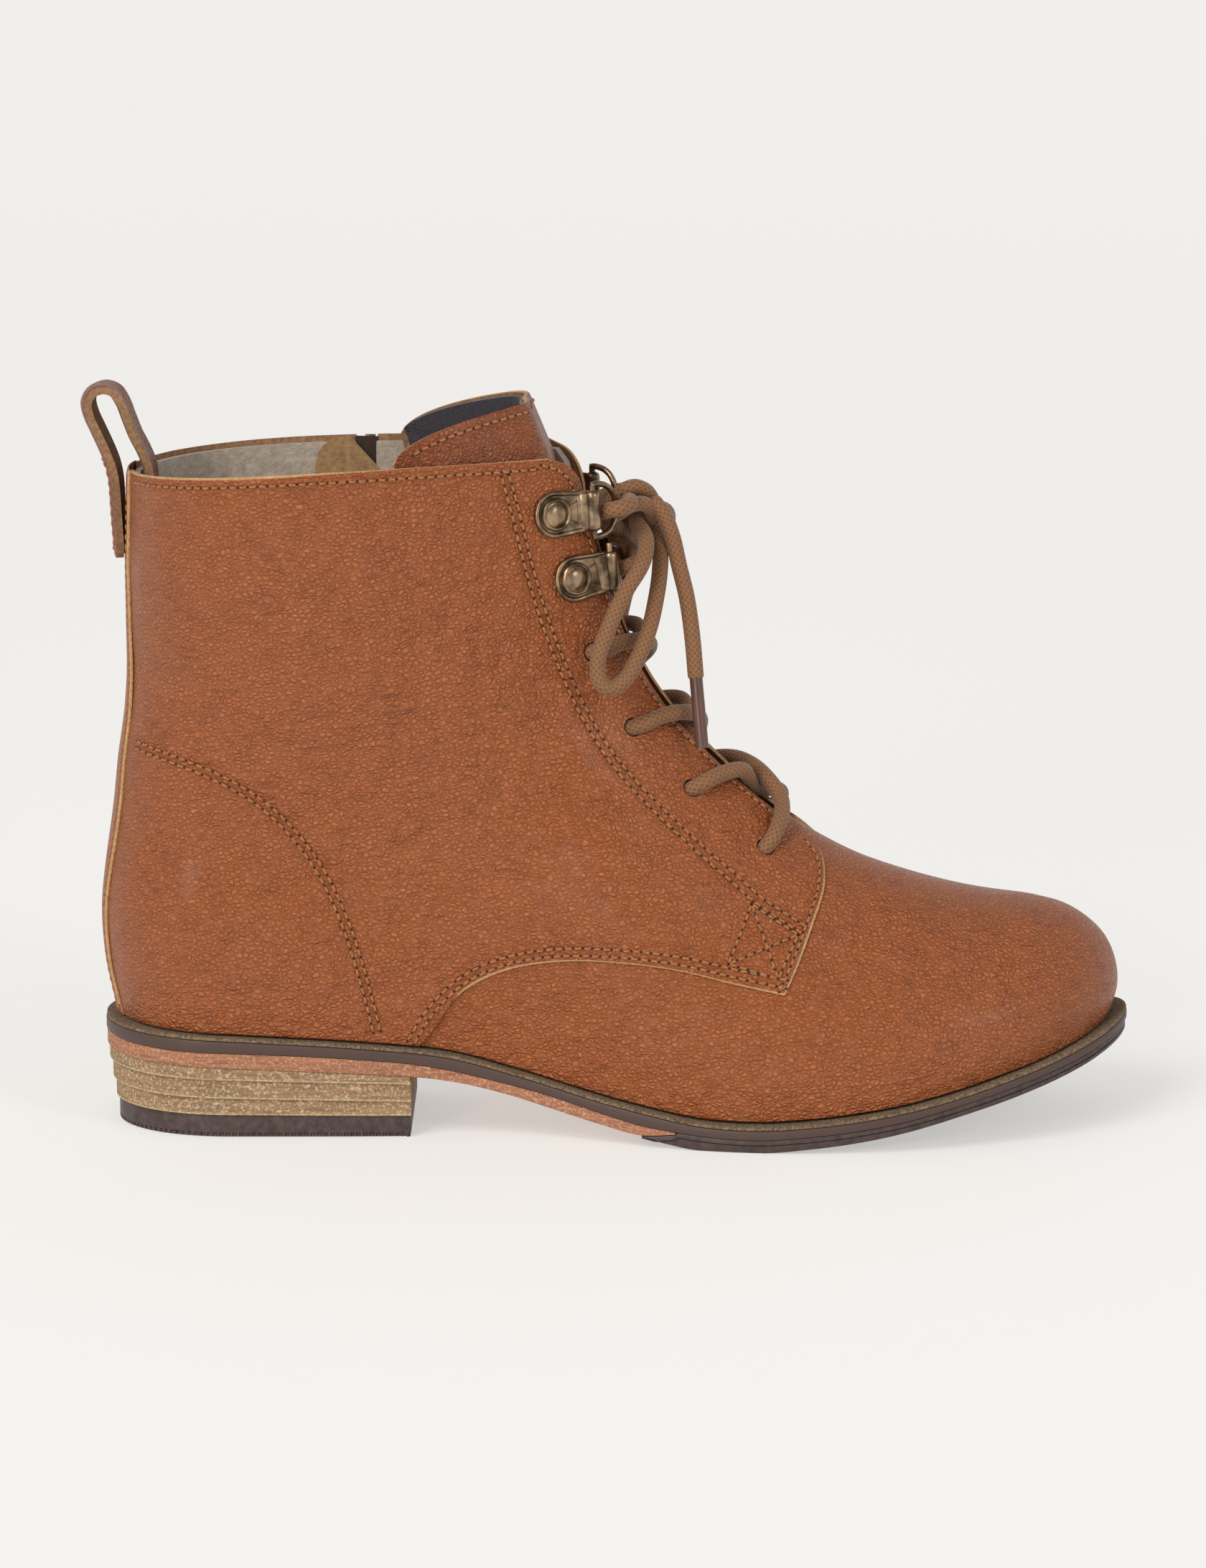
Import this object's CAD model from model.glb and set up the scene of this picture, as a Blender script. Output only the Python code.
"""Lace up ankle boot, right foot: the dressed model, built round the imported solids.

Lengths are in millimetres, in the solids' frame (X heel to toe, Y to the inner side, Z up), and are turned
to metres as each mesh is made. The upper is a skin with two parameters, turn and level: turn 0 is the middle
of the back, pi the middle of the front, with the outer side between them, and level runs from the feather
edge 0 to the collar 1. Every leather piece, seam, clip and lace run is placed on that skin.
"""

import math

import bmesh
import bpy
import numpy as np
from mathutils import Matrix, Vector


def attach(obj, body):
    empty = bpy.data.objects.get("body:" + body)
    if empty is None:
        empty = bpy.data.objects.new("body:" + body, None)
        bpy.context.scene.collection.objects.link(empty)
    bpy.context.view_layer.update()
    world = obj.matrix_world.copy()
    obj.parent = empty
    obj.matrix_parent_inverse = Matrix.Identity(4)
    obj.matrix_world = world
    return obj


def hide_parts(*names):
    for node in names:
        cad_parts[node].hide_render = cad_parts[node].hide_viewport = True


bl_info = {
    "name": "Lace up ankle boot",
    "version": (1, 0, 0),
    "blender": (4, 5, 0),
    "location": "View3D > Sidebar > Ankle boot",
    "description": "Builds a tan leather ankle boot piece by piece",
    "category": "Mesh",
}

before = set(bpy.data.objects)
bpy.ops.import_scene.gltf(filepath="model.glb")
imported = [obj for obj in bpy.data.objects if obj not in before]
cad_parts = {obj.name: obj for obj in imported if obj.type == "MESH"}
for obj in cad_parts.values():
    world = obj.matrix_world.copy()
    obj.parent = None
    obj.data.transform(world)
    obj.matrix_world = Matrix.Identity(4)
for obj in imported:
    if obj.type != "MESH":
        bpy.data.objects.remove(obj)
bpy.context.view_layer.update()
MM = 0.001
PI = math.pi

# Upper, as the solids have it
WALL = 2.1
FEATHER_GAP = 0.6
HEEL_BACK_RADIUS = 28.0
TOE_START_X = 157.0
TOE_TIP_X = 225.4
TOE_POWER = 2.05
HEEL_POWER = 2.1
WELT_REACH = 3.3
WELT_TIP_X = 227.8
WELT_BACK_X = -41.6
# Heights between which the foot's form gives way to the shaft's
FOOT_TO_SHAFT = (60.0, 116.0)
# A level is its share of the height to the power 1 / 1.35, so that levels crowd towards the foot
LEVEL_POWER = 1.35
THROAT_Z = 80.0
THROAT_HALF_LOW = 5.6
THROAT_HALF_HIGH = 15.0
COLLAR_BACK_Z = 172.4
COLLAR_FRONT_Z = 177.0
HEEL_BREAST_X = 39.4
WAIST_END_X = 108.0
RUBBER_START_X = 99.3

# Columns: x, centre line y, half-width of the welt in plan
PLAN = (
    (-50.0, 0.0, 30.6),
    (-10.0, 0.0, 30.6),
    (20.0, -0.5, 30.0),
    (50.0, -2.0, 28.2),
    (75.0, -3.4, 29.4),
    (100.0, -4.4, 35.0),
    (125.0, -3.3, 41.8),
    (145.0, -2.2, 44.5),
    (160.0, -1.3, 44.9),
    (180.0, 0.3, 44.9),
    (200.0, 2.2, 44.9),
    (230.0, 5.0, 44.9),
)
# Columns: x, height of the welt's top face
WELT_TOP = (
    (-45.0, 28.6),
    (0.0, 26.6),
    (30.0, 24.7),
    (50.0, 22.4),
    (68.0, 17.8),
    (87.0, 12.6),
    (100.0, 9.8),
    (113.0, 7.5),
    (127.0, 6.9),
    (143.0, 7.9),
    (169.0, 11.8),
    (196.0, 18.4),
    (210.0, 22.4),
    (217.0, 24.7),
    (223.5, 27.0),
    (228.0, 28.8),
)
# Columns: x, height of the midsole's bottom face
MIDSOLE_BOTTOM = (
    (-45.0, 24.4),
    (-41.6, 24.2),
    (37.0, 20.3),
    (50.0, 18.3),
    (62.0, 15.6),
    (75.0, 12.4),
    (87.0, 8.9),
    (100.0, 5.7),
    (108.0, 4.6),
    (118.0, 3.7),
    (130.0, 3.5),
    (143.0, 4.6),
    (156.0, 6.3),
    (169.0, 8.7),
    (183.0, 12.1),
    (196.0, 15.4),
    (210.0, 19.3),
    (217.0, 21.5),
    (223.5, 24.0),
    (228.0, 25.8),
)
# Columns: x, height of the leather waist's bottom face
WAIST_BOTTOM = (
    (-45.0, 20.4),
    (38.0, 16.6),
    (45.0, 16.0),
    (55.0, 14.4),
    (66.0, 11.7),
    (78.0, 8.2),
    (88.5, 5.4),
    (99.0, 3.2),
    (108.0, 3.9),
)
# Columns: x, height of the rubber's bottom face
RUBBER_BOTTOM = (
    (98.0, 2.8),
    (106.0, 1.1),
    (113.5, 0.0),
    (131.0, 0.0),
    (143.0, 1.2),
    (156.0, 3.0),
    (169.0, 5.6),
    (183.0, 9.1),
    (196.0, 12.4),
    (210.0, 16.4),
    (217.0, 18.7),
    (223.5, 21.2),
    (228.0, 23.0),
)
# Columns: x, z of the front outline, from the toe's feather edge up the shaft
FRONT = (
    (223.4, 27.57),
    (225.4, 35.5),
    (224.3, 42.0),
    (221.6, 47.4),
    (217.0, 52.0),
    (211.0, 55.6),
    (204.0, 57.6),
    (192.0, 59.6),
    (180.0, 62.0),
    (168.0, 65.6),
    (155.5, 70.4),
    (143.0, 77.0),
    (131.0, 86.0),
    (119.5, 97.5),
    (109.0, 110.0),
    (100.5, 124.0),
    (94.3, 140.0),
    (87.5, 163.0),
    (83.5, 177.0),
)
# Columns: x, z of the back outline, from the feather edge up to the collar
BACK = (
    (-36.9, 29.05),
    (-38.3, 35.6),
    (-39.8, 43.0),
    (-40.5, 50.5),
    (-40.5, 58.0),
    (-39.8, 65.5),
    (-37.6, 80.5),
    (-35.6, 95.4),
    (-33.9, 109.0),
    (-33.3, 122.0),
    (-33.1, 148.0),
    (-32.4, 172.4),
)
# Columns: z, half-width of the shaft, half-width of its blunt front
SHAFT = (
    (60.0, 34.0, 4.6),
    (85.0, 33.0, 5.2),
    (105.0, 33.4, 6.6),
    (130.0, 35.5, 9.2),
    (155.0, 38.0, 12.0),
    (180.0, 39.5, 14.6),
)
# Columns: x, fullness of the forefoot's cross-section
FULLNESS = ((90.0, 1.7), (140.0, 1.75), (175.0, 2.1), (205.0, 2.5), (226.0, 2.6))
# Columns: x, z of the quarter's cut edge on the vamp, from the feather edge to its pointed corner
QUARTER_LOW = (
    (41.5, 24.0),
    (47.0, 32.8),
    (55.0, 40.4),
    (65.5, 45.4),
    (80.0, 48.2),
    (95.0, 48.4),
    (109.0, 46.6),
    (124.0, 43.0),
    (136.0, 40.4),
)
# Columns: x, z of its front edge, from that corner to the throat
QUARTER_FRONT = (
    (136.0, 40.4),
    (139.6, 47.7),
    (143.6, 57.5),
    (146.6, 66.0),
    (146.0, 72.0),
    (142.6, 76.2),
)
# Columns: x, z of the facing's rounded corner at the collar
COLLAR_CORNER = ((84.6, 158.0), (84.3, 163.0), (83.6, 167.5), (82.2, 171.5), (79.8, 174.6), (75.0, 176.8))
# Columns: x, z of the vamp's upper edge, hidden under the quarters and the tongue
VAMP_HIDDEN = (
    (36.0, 38.0),
    (42.0, 47.0),
    (54.0, 55.0),
    (72.0, 59.0),
    (92.0, 60.0),
    (110.0, 60.0),
    (124.0, 64.0),
    (132.0, 72.0),
    (136.0, 78.5),
)
# Columns: x, z of each row of stitches on the quarter, from the photograph
COUNTER_SEAM = (
    (-30.4, 102.5),
    (-19.9, 100.2),
    (-11.0, 97.1),
    (-0.7, 91.6),
    (6.2, 85.9),
    (14.1, 76.3),
    (19.8, 66.3),
    (24.4, 55.3),
    (28.9, 39.8),
    (31.6, 28.5),
)
FACING_SEAM = (
    (63.0, 173.2),
    (65.8, 162.5),
    (69.2, 148.4),
    (74.0, 132.4),
    (79.2, 119.0),
    (86.6, 104.2),
    (93.6, 94.6),
    (102.6, 85.1),
    (112.8, 75.7),
    (121.7, 68.3),
    (127.4, 63.3),
    (140.6, 54.6),
)
TACK_BOX = ((127.4, 62.3), (139.4, 54.5), (134.2, 44.3), (121.4, 48.2))

# Lace, clips and rings, as the solids have them
HOLES = ((131.1, 75.1), (112.0, 90.2), (96.7, 106.2), (86.0, 126.3))
HOLE_RADIUS = 2.5
CLIPS = (("lower", 81.2, 145.7, 8.0, 36.0), ("upper", 76.1, 162.6, 2.0, 14.0))
CLIP_HALF = 6.0
CLIP_LENGTH = 10.4
CLIP_OFF = 0.5
BARREL_RADIUS = 1.9
RING_WIRE = 1.6
RING_HALF = 6.8
RING_REACH = 8.2
KNOT_CENTRE = (96.0, -3.0, 163.5)
TAG_THICK = 3.4
TAG_LENGTH = 18.5
GAP = 0.3
# The tone that takes away the patches' share, so that the leather shows one even colour
EVEN_TONE = -0.45
# Sign of y and word for each side
SIDES = ((-1, "outer"), (1, "inner"))
# Which rows of quarter_rows press a groove into the leather: counter and facing
GROOVED = slice(3, 7)
# Top of the zip's tape and of the guard behind it
ZIP_TAPE_TOP = 175.4
# Edges that turn by more than this stay crisp
SHARP_ANGLE = math.radians(42)

# Columns: x, y, z of the loop that hangs from the knot on the outer side
LOOP_OUTER = (
    (98.0, -4.0, 158.0),
    (100.4, -12.0, 154.8),
    (99.4, -18.6, 149.5),
    (95.2, -22.4, 142.9),
    (90.6, -25.0, 133.4),
    (88.0, -26.5, 125.3),
    (88.6, -27.0, 120.1),
    (91.2, -26.6, 118.2),
    (94.4, -25.4, 119.8),
    (97.8, -23.0, 124.6),
    (101.1, -19.0, 132.2),
    (102.9, -15.0, 139.3),
    (104.0, -10.0, 146.3),
    (104.0, -4.6, 152.4),
    (102.4, -0.6, 157.0),
)
LOOP_INNER = (
    (97.8, 3.0, 158.4),
    (97.5, 12.0, 155.5),
    (94.6, 20.0, 151.5),
    (90.6, 26.8, 146.0),
    (86.4, 29.4, 138.0),
    (83.5, 29.5, 129.0),
    (83.2, 29.0, 122.5),
    (85.5, 28.5, 119.5),
    (88.3, 28.5, 121.0),
    (90.3, 29.2, 127.0),
    (91.6, 30.0, 135.0),
    (94.6, 29.2, 142.0),
    (99.0, 22.6, 146.6),
    (103.0, 13.0, 150.5),
    (104.2, 5.0, 154.4),
)
# Columns: x, y, z of each end of the lace, from the knot to its tag
END_OUTER = (
    (102.6, -5.0, 163.6),
    (105.0, -5.6, 160.4),
    (107.2, -6.6, 155.0),
    (109.0, -8.2, 147.4),
    (110.9, -10.4, 139.8),
    (112.3, -12.8, 130.4),
    (113.3, -14.8, 119.6),
)
END_INNER = (
    (101.6, 3.2, 161.0),
    (105.4, 10.0, 159.4),
    (106.2, 18.0, 155.5),
    (103.0, 26.5, 150.5),
    (98.4, 31.6, 144.0),
    (95.6, 34.0, 135.0),
    (93.6, 34.0, 126.0),
    (92.6, 33.0, 117.0),
)
# Columns: x, z of the pull loop's path, from its outer end over the top and down inside
STRAP = (
    (-36.6, 149.0),
    (-37.2, 156.5),
    (-37.6, 163.5),
    (-38.0, 169.3),
    (-38.8, 173.1),
    (-40.4, 177.3),
    (-42.5, 182.0),
    (-44.3, 186.2),
    (-44.8, 189.4),
    (-43.4, 192.0),
    (-40.6, 193.0),
    (-37.8, 192.0),
    (-35.8, 189.0),
    (-34.3, 185.0),
    (-32.6, 180.6),
    (-30.4, 176.2),
    (-28.9, 172.0),
    (-28.6, 167.0),
    (-28.6, 161.0),
)
STRAP_WIDE = 15.5
STRAP_THICK = 2.2
STRAP_BOW = 24.0

# Zip
ZIP_TOP = (26.6, 165.0)
ZIP_FOOT = (21.0, 48.0)
ZIP_WIDE = 9.0
ZIP_RECESS = 1.8
ZIP_SLOT = 2.9

# Tongue
TONGUE_CLEAR = 0.9
TONGUE_FOOT_Z = 73.0
TONGUE_RISE = 14.2

# Camera: where it looks, how far off it is, its height in degrees and its lens
AIM = (89.3, 0.0, 88.4)
CAMERA_FAR = 1560.0
CAMERA_RISE = 10.5
LENS = 136.7


def length_property(name, description, millimetres):
    return bpy.props.FloatProperty(name=name, description=description, default=millimetres * MM, unit="LENGTH")


class BootSizes(bpy.types.PropertyGroup):
    quarter_step: length_property("Quarter leather", "Thickness of the overlay leather", 1.0)
    backstay_step: length_property("Backstay leather", "Thickness of the back strip", 0.8)
    backstay_half: length_property("Backstay half-width", "Half the width of the back strip", 10.0)
    stitch: length_property("Stitch pitch", "From one needle hole to the next", 2.55)
    thread: length_property("Thread", "Thickness of the sewing thread", 0.68)
    lace: length_property("Lace", "Diameter of the round lace", 4.2)
    grain: length_property("Grain", "Width of one pebble of the leather's grain", 1.2)


def colour_property(name, description, value):
    return bpy.props.StringProperty(name=name, description=description, default=value)


class BootColours(bpy.types.PropertyGroup):
    leather: colour_property("Leather", "sRGB of the tan leather", "#A55823")
    leather_dark: colour_property("Burnish", "sRGB of its darker, redder burnish", "#763618")
    raw_edge: colour_property("Raw edge", "sRGB of the cut edges", "#CA9F73")
    thread: colour_property("Thread", "sRGB of the sewing thread", "#B47643")
    lace: colour_property("Lace", "sRGB of the waxed lace", "#84562F")
    brass: colour_property("Brass", "sRGB of the antique brass", "#AE9375")
    fur: colour_property("Lining", "sRGB of the fleece lining", "#B8A797")
    suede: colour_property("Suede", "sRGB of the zip guard", "#AA865A")
    welt: colour_property("Welt edge", "sRGB of the stained sole edge", "#48352E")
    waist: colour_property("Waist", "sRGB of the sole leather", "#AE7655")
    lifts: colour_property("Lifts", "sRGB of the stacked leather", "#9C7C59")
    rubber: colour_property("Rubber", "sRGB of the rubber", "#4F3B37")


def sizes():
    return bpy.context.scene.boot_sizes


def colours():
    return bpy.context.scene.boot_colours


def table(rows, column):
    return np.array([row[column] for row in rows], float)


def smooth_through(x, xs, ys):
    """Cubic through the points (xs, ys), each slope the mean of its two neighbours' slopes."""
    x = np.clip(np.asarray(x, float), xs[0], xs[-1])
    steps = np.diff(xs)
    chords = np.diff(ys) / steps
    slopes = np.concatenate([chords[:1], (chords[:-1] + chords[1:]) / 2, chords[-1:]])
    i = np.clip(np.searchsorted(xs, x, side="right") - 1, 0, len(steps) - 1)
    t = (x - xs[i]) / steps[i]
    return (
        ys[i] * (1 + 2 * t) * (1 - t) ** 2
        + ys[i + 1] * t * t * (3 - 2 * t)
        + steps[i] * (slopes[i] * t * (1 - t) ** 2 - slopes[i + 1] * t * t * (1 - t))
    )


def distances(points):
    """How far along a polyline each of its points lies: the running sum of its chords."""
    return np.concatenate([[0], np.cumsum(np.linalg.norm(np.diff(points, axis=0), axis=1))])


def path_length(points):
    return float(distances(np.array(points, float))[-1])


def sample(at, along, values):
    """Rows of values at those distances, by straight lines between the rows known at each distance along."""
    return np.stack([np.interp(at, along, column) for column in values.T], axis=-1)


def unit(vectors):
    return vectors / np.maximum(np.linalg.norm(vectors, axis=-1, keepdims=True), 1e-12)


def smooth_path(points, count):
    """That many points, evenly spaced along a smooth curve through the given ones."""
    points = np.array(points, float)
    along = distances(points)
    fine = np.linspace(0, along[-1], 40 * len(points))
    curve = np.stack([smooth_through(fine, along, column) for column in points.T], axis=-1)
    return even_path(curve, count)


def even_path(points, count):
    """That many points at an even spacing along a polyline."""
    points = np.array(points, float)
    along = distances(points)
    return sample(np.linspace(0, along[-1], count), along, points)


FRONT_CURVE = smooth_path(FRONT, 400)
BACK_CURVE = smooth_path(BACK, 400)
FRONT_X, FRONT_Z = FRONT_CURVE.T
BACK_X, BACK_Z = BACK_CURVE.T
TOE_FACE = int(np.argmax(FRONT_X))


def ease(low, high, value):
    t = np.clip((value - low) / (high - low), 0, 1)
    return t * t * (3 - 2 * t)


def height(rows, x):
    return smooth_through(x, table(rows, 0), table(rows, 1))


def front_x(z):
    return np.interp(z, FRONT_Z, FRONT_X)


def back_x(z):
    return np.interp(z, BACK_Z, BACK_X)


def ridge_z(x):
    return np.interp(x, FRONT_X[TOE_FACE:][::-1], FRONT_Z[TOE_FACE:][::-1])


def plan_centre(x):
    return smooth_through(x, table(PLAN, 0), table(PLAN, 1))


def plan_half(x):
    return smooth_through(x, table(PLAN, 0), table(PLAN, 2))


def end_round(distance, length, power):
    """1 well inside a form and 0 at its end, along a superellipse's quarter."""
    t = 1 - np.clip(distance / length, 0, 1)
    return (1 - t**power) ** (1 / power)


def foot_half(x, z):
    """Half-width of the foot: the plan's, swelling above the feather edge, closed over by an arch."""
    low = height(WELT_TOP, x) + FEATHER_GAP
    rise = np.clip((z - low) / np.maximum(ridge_z(x) - low, 1.0), 0, 1)
    swell = 3.0 * np.sin(PI * np.clip(rise / 0.62, 0, 1)) * ease(30, 130, x)
    swell = swell + 2.2 * np.sin(PI * np.clip((z - low) / 46, 0, 1)) * (1 - ease(0, 60, x))
    swell = swell + 4.0 * ease(0, 60, z - low) * ease(10, 60, x) * (1 - ease(90, 130, x))
    half = plan_half(x) - WELT_REACH + swell
    fullness = smooth_through(x, table(FULLNESS, 0), table(FULLNESS, 1))
    arch = np.sqrt(np.clip(1 - rise**fullness, 0, 1))
    face_x = np.where(z < FRONT_Z[TOE_FACE], front_x(z), TOE_TIP_X)
    toe = end_round(face_x - x, face_x - TOE_START_X, TOE_POWER)
    heel = end_round(x - back_x(z), HEEL_BACK_RADIUS, HEEL_POWER)
    return half * arch * toe * heel


def shaft_half(x, z):
    """Half-width of the shaft: a round back, widest at a third, tapering to a blunt front."""
    low, high = back_x(z), front_x(z)
    widest = low + (high - low) * 0.36
    wide = smooth_through(z, table(SHAFT, 0), table(SHAFT, 1))
    blunt = smooth_through(z, table(SHAFT, 0), table(SHAFT, 2))
    behind = np.clip((widest - x) / (widest - low), 0, 1)
    ahead = np.clip((x - widest) / (high - widest), 0, 1)
    rear = wide * (1 - behind**2.2) ** (1 / 2.2)
    nose = blunt * np.sqrt(1 - ahead**26) + (wide - blunt) * (1 - ahead**1.8) ** (1 / 1.2)
    return np.where(x < widest, rear, nose)


def half_width(x, z):
    share = ease(*FOOT_TO_SHAFT, z)
    return (1 - share) * foot_half(x, z) + share * shaft_half(x, z)


def middle(x, z):
    return plan_centre(x) * (1 - ease(*FOOT_TO_SHAFT, z))


def collar_z(x):
    t = np.clip((x - BACK_X[-1]) / (FRONT_X[-1] - BACK_X[-1]), 0, 1)
    return COLLAR_BACK_Z + (COLLAR_FRONT_Z - COLLAR_BACK_Z) * t + 1.2 * np.sin(PI * t)


def side_points(s, v):
    """Side view position for s from back 0 to front 1 and v from feather edge 0 to collar 1, blended from
    the four edges of the boot's side."""
    at = np.arange(len(BACK_X))
    where = v * (len(BACK_X) - 1)
    bx, bz = np.interp(where, at, BACK_X), np.interp(where, at, BACK_Z)
    fx, fz = np.interp(where, at, FRONT_X), np.interp(where, at, FRONT_Z)
    low_x = BACK_X[0] + (FRONT_X[0] - BACK_X[0]) * s
    high_x = BACK_X[-1] + (FRONT_X[-1] - BACK_X[-1]) * s
    low_line = BACK_Z[0] + (FRONT_Z[0] - BACK_Z[0]) * s
    high_line = BACK_Z[-1] + (FRONT_Z[-1] - BACK_Z[-1]) * s
    ends = 4 * s * (1 - s)
    low_sag = (height(WELT_TOP, low_x) + FEATHER_GAP - low_line) * np.minimum(1, 200 * ends)
    high_sag = (collar_z(high_x) - high_line) * np.minimum(1, 4 * ends)
    x = (1 - s) * bx + s * fx
    z = (1 - s) * bz + s * fz + (1 - v) ** 1.6 * low_sag + v**3 * high_sag
    return x, z


def skin(turn, level):
    """The bare skin: side view position from turn and level, then out by its half-width to one side."""
    x, z = side_points((1 - np.cos(turn)) / 2, np.clip(level, 0, 1) ** LEVEL_POWER)
    half = np.nan_to_num(half_width(x, z))
    edge = np.minimum(1, np.abs(np.sin(turn)) * 1e6)
    return np.stack([x, middle(x, z) - np.sign(np.sin(turn)) * half * edge, z], axis=-1)


def skin_normals(turn, level):
    """Unit normals off the skin: the cross product of its two parameters' central differences."""
    d = 2e-3
    along = skin(turn + d, level) - skin(turn - d, level)
    low, high = np.clip(level - d, 0, 1), np.clip(level + d, 0, 1)
    return unit(np.cross(along, skin(turn, high) - skin(turn, low)))


def locate(points, side):
    """Turn and level of the skin at side view points (x, z), by Newton's steps from the nearest of a grid."""
    points = np.array(points, float).reshape(-1, 2)
    gs, gv = np.meshgrid(np.linspace(0.002, 0.998, 90), np.linspace(0, 1, 70))
    gx, gz = side_points(gs, gv)
    away = (gx.ravel()[None] - points[:, :1]) ** 2 + (gz.ravel()[None] - points[:, 1:]) ** 2
    best = away.argmin(axis=1)
    s, v = gs.ravel()[best], gv.ravel()[best]
    h = 1e-4
    for _ in range(25):
        x, z = side_points(s, v)
        xs, zs = side_points(s + h, v)
        xv, zv = side_points(s, np.minimum(v + h, 1)) if np.all(v + h <= 1) else side_points(s, v - h)
        sign = 1 if np.all(v + h <= 1) else -1
        a, b = (xs - x) / h, sign * (xv - x) / h
        c, d = (zs - z) / h, sign * (zv - z) / h
        det = a * d - b * c
        rx, rz = points[:, 0] - x, points[:, 1] - z
        s = np.clip(s + 0.7 * (d * rx - b * rz) / det, 1e-5, 1 - 1e-5)
        v = np.clip(v + 0.7 * (a * rz - c * rx) / det, 0, 1)
    turn = np.arccos(1 - 2 * s)
    return np.stack([turn if side < 0 else 2 * PI - turn, v ** (1 / LEVEL_POWER)], axis=-1)


def side_y(x, z, side):
    return float(middle(x, z) + side * half_width(x, z))


def surface_frame(x, z, side, lift=0.0, rise=0.0):
    """A frame on the quarter's outer face at side view (x, z): its origin, then unit vectors forward along
    the face (turned up by rise degrees), up along it, and off it. Side is -1 outer and 1 inner."""
    d = 0.5
    slope_x = (side_y(x + d, z, side) - side_y(x - d, z, side)) / (2 * d)
    slope_z = (side_y(x, z + d, side) - side_y(x, z - d, side)) / (2 * d)
    off = unit(np.array([-slope_x, 1.0, -slope_z]) * side)
    forward = unit(np.array([1.0, slope_x, 0.0]))
    up = np.cross(forward, off) * side
    up *= np.sign(up[2])
    turn = math.radians(rise)
    forward, up = (
        forward * math.cos(turn) + up * math.sin(turn),
        up * math.cos(turn) - forward * math.sin(turn),
    )
    at = np.array([x, side_y(x, z, side), z]) + off * (sizes().quarter_step / MM + lift)
    return at, forward, up, off


def off_side(x, z, side, lift):
    return surface_frame(x, z, side, lift)[0]


def gap_half(z):
    share = (z - THROAT_Z) / (COLLAR_FRONT_Z - THROAT_Z)
    return THROAT_HALF_LOW + (THROAT_HALF_HIGH - THROAT_HALF_LOW) * share


def edge_x(z):
    """Where the facing's edge lies in side view: where the skin's half-width is half the throat's gap."""
    x = np.linspace(front_x(z) - 25, front_x(z), 200)
    half = half_width(x, np.full_like(x, z))
    return float(np.interp(-gap_half(z), -half, x))


def over_edge(z, side, lift):
    return off_side(edge_x(z), z, side, lift)


def over_gap(z, bulge):
    """A point in the middle, out from the line between the facings' edges."""
    near, far = over_edge(z, -1, 0.0), over_edge(z, 1, 0.0)
    slope = (front_x(z + 4) - front_x(z - 4)) / 8
    return (near + far) / 2 + np.array([1.0, 0.0, -slope]) / math.hypot(1.0, slope) * bulge


def to_line(x, z, line):
    """Distance from side view points to a polyline."""
    p = np.stack([x, z], axis=-1)[..., None, :]
    line = np.array(line, float)
    a, b = line[:-1], line[1:]
    run = b - a
    t = np.clip(((p - a) * run).sum(-1) / (run**2).sum(-1), 0, 1)
    return np.linalg.norm(p - (a + t[..., None] * run), axis=-1).min(-1)


# Columns: polyline in side view, depth (+ in, - out), half-width. Soft troughs and ridges left by wear
CREASES = (
    (((-26, 118), (-8, 114), (12, 105), (26, 92)), 0.55, 9.0),
    (((-30, 98), (-14, 88), (0, 76)), -0.5, 9.0),
    (((-24, 66), (0, 58), (14, 50)), -0.45, 10.0),
    (((-22, 152), (6, 146), (34, 150)), -0.35, 8.0),
    (((-10, 132), (18, 128), (44, 134)), 0.3, 7.0),
    (((40, 112), (62, 104), (84, 90)), 0.45, 8.0),
    (((56, 124), (66, 112), (82, 99)), -0.35, 5.0),
    (((44, 78), (64, 74), (86, 66)), 0.35, 7.0),
    (((48, 66), (70, 63), (92, 60)), -0.3, 4.0),
    (((100, 36), (116, 34), (134, 30)), 0.3, 5.0),
    (((146, 38), (152, 50), (158, 60)), 0.35, 4.0),
    (((140, 24), (150, 32), (162, 38)), 0.22, 2.6),
    (((152, 20), (160, 28), (172, 34)), 0.18, 2.4),
    (((155, 62), (164, 56), (172, 46)), 0.25, 4.0),
    (((74, 140), (84, 134), (90, 128)), 0.2, 2.2),
)


def relief(x, z, side):
    """Small folds in the leather, in millimetres: the creases, and a few slow waves so that no side is
    quite flat. The inner side has the same, a little moved."""
    shift = 0.0 if side < 0 else 5.0
    out = 0.10 * np.sin(x / 7.3 + z / 11 + shift) * np.sin(z / 8.1 - x / 19)
    out = out + 0.07 * np.sin(x / 4.1 - z / 6.3 + shift) * np.sin(z / 5.2 + x / 9)
    for line, depth, width in CREASES:
        away = to_line(x - shift, z, line)
        out = out - 1.35 * depth * np.exp(-((away / width) ** 2))
    return out


def seam_groove(x, z, rows, depth=0.28, width=0.9):
    out = 0.0
    for line in rows:
        out = out - depth * np.exp(-((to_line(x, z, line) / width) ** 2))
    return out


def beside(line, distance):
    """A side view polyline moved that far to its left."""
    line = np.array(line, float)
    run = unit(np.gradient(line, axis=0))
    return line + np.stack([-run[:, 1], run[:, 0]], axis=-1) * distance


def coons(low, high, left, right):
    """A grid filled in between four edges, each blended across to the one opposite."""
    u = np.linspace(0, 1, len(low))[None, :, None]
    v = np.linspace(0, 1, len(left))[:, None, None]
    ruled = (1 - v) * low[None] + v * high[None] + (1 - u) * left[:, None] + u * right[:, None]
    corners = (1 - v) * ((1 - u) * low[0] + u * low[-1]) + v * ((1 - u) * high[0] + u * high[-1])
    return ruled - corners


# Meshes


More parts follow.
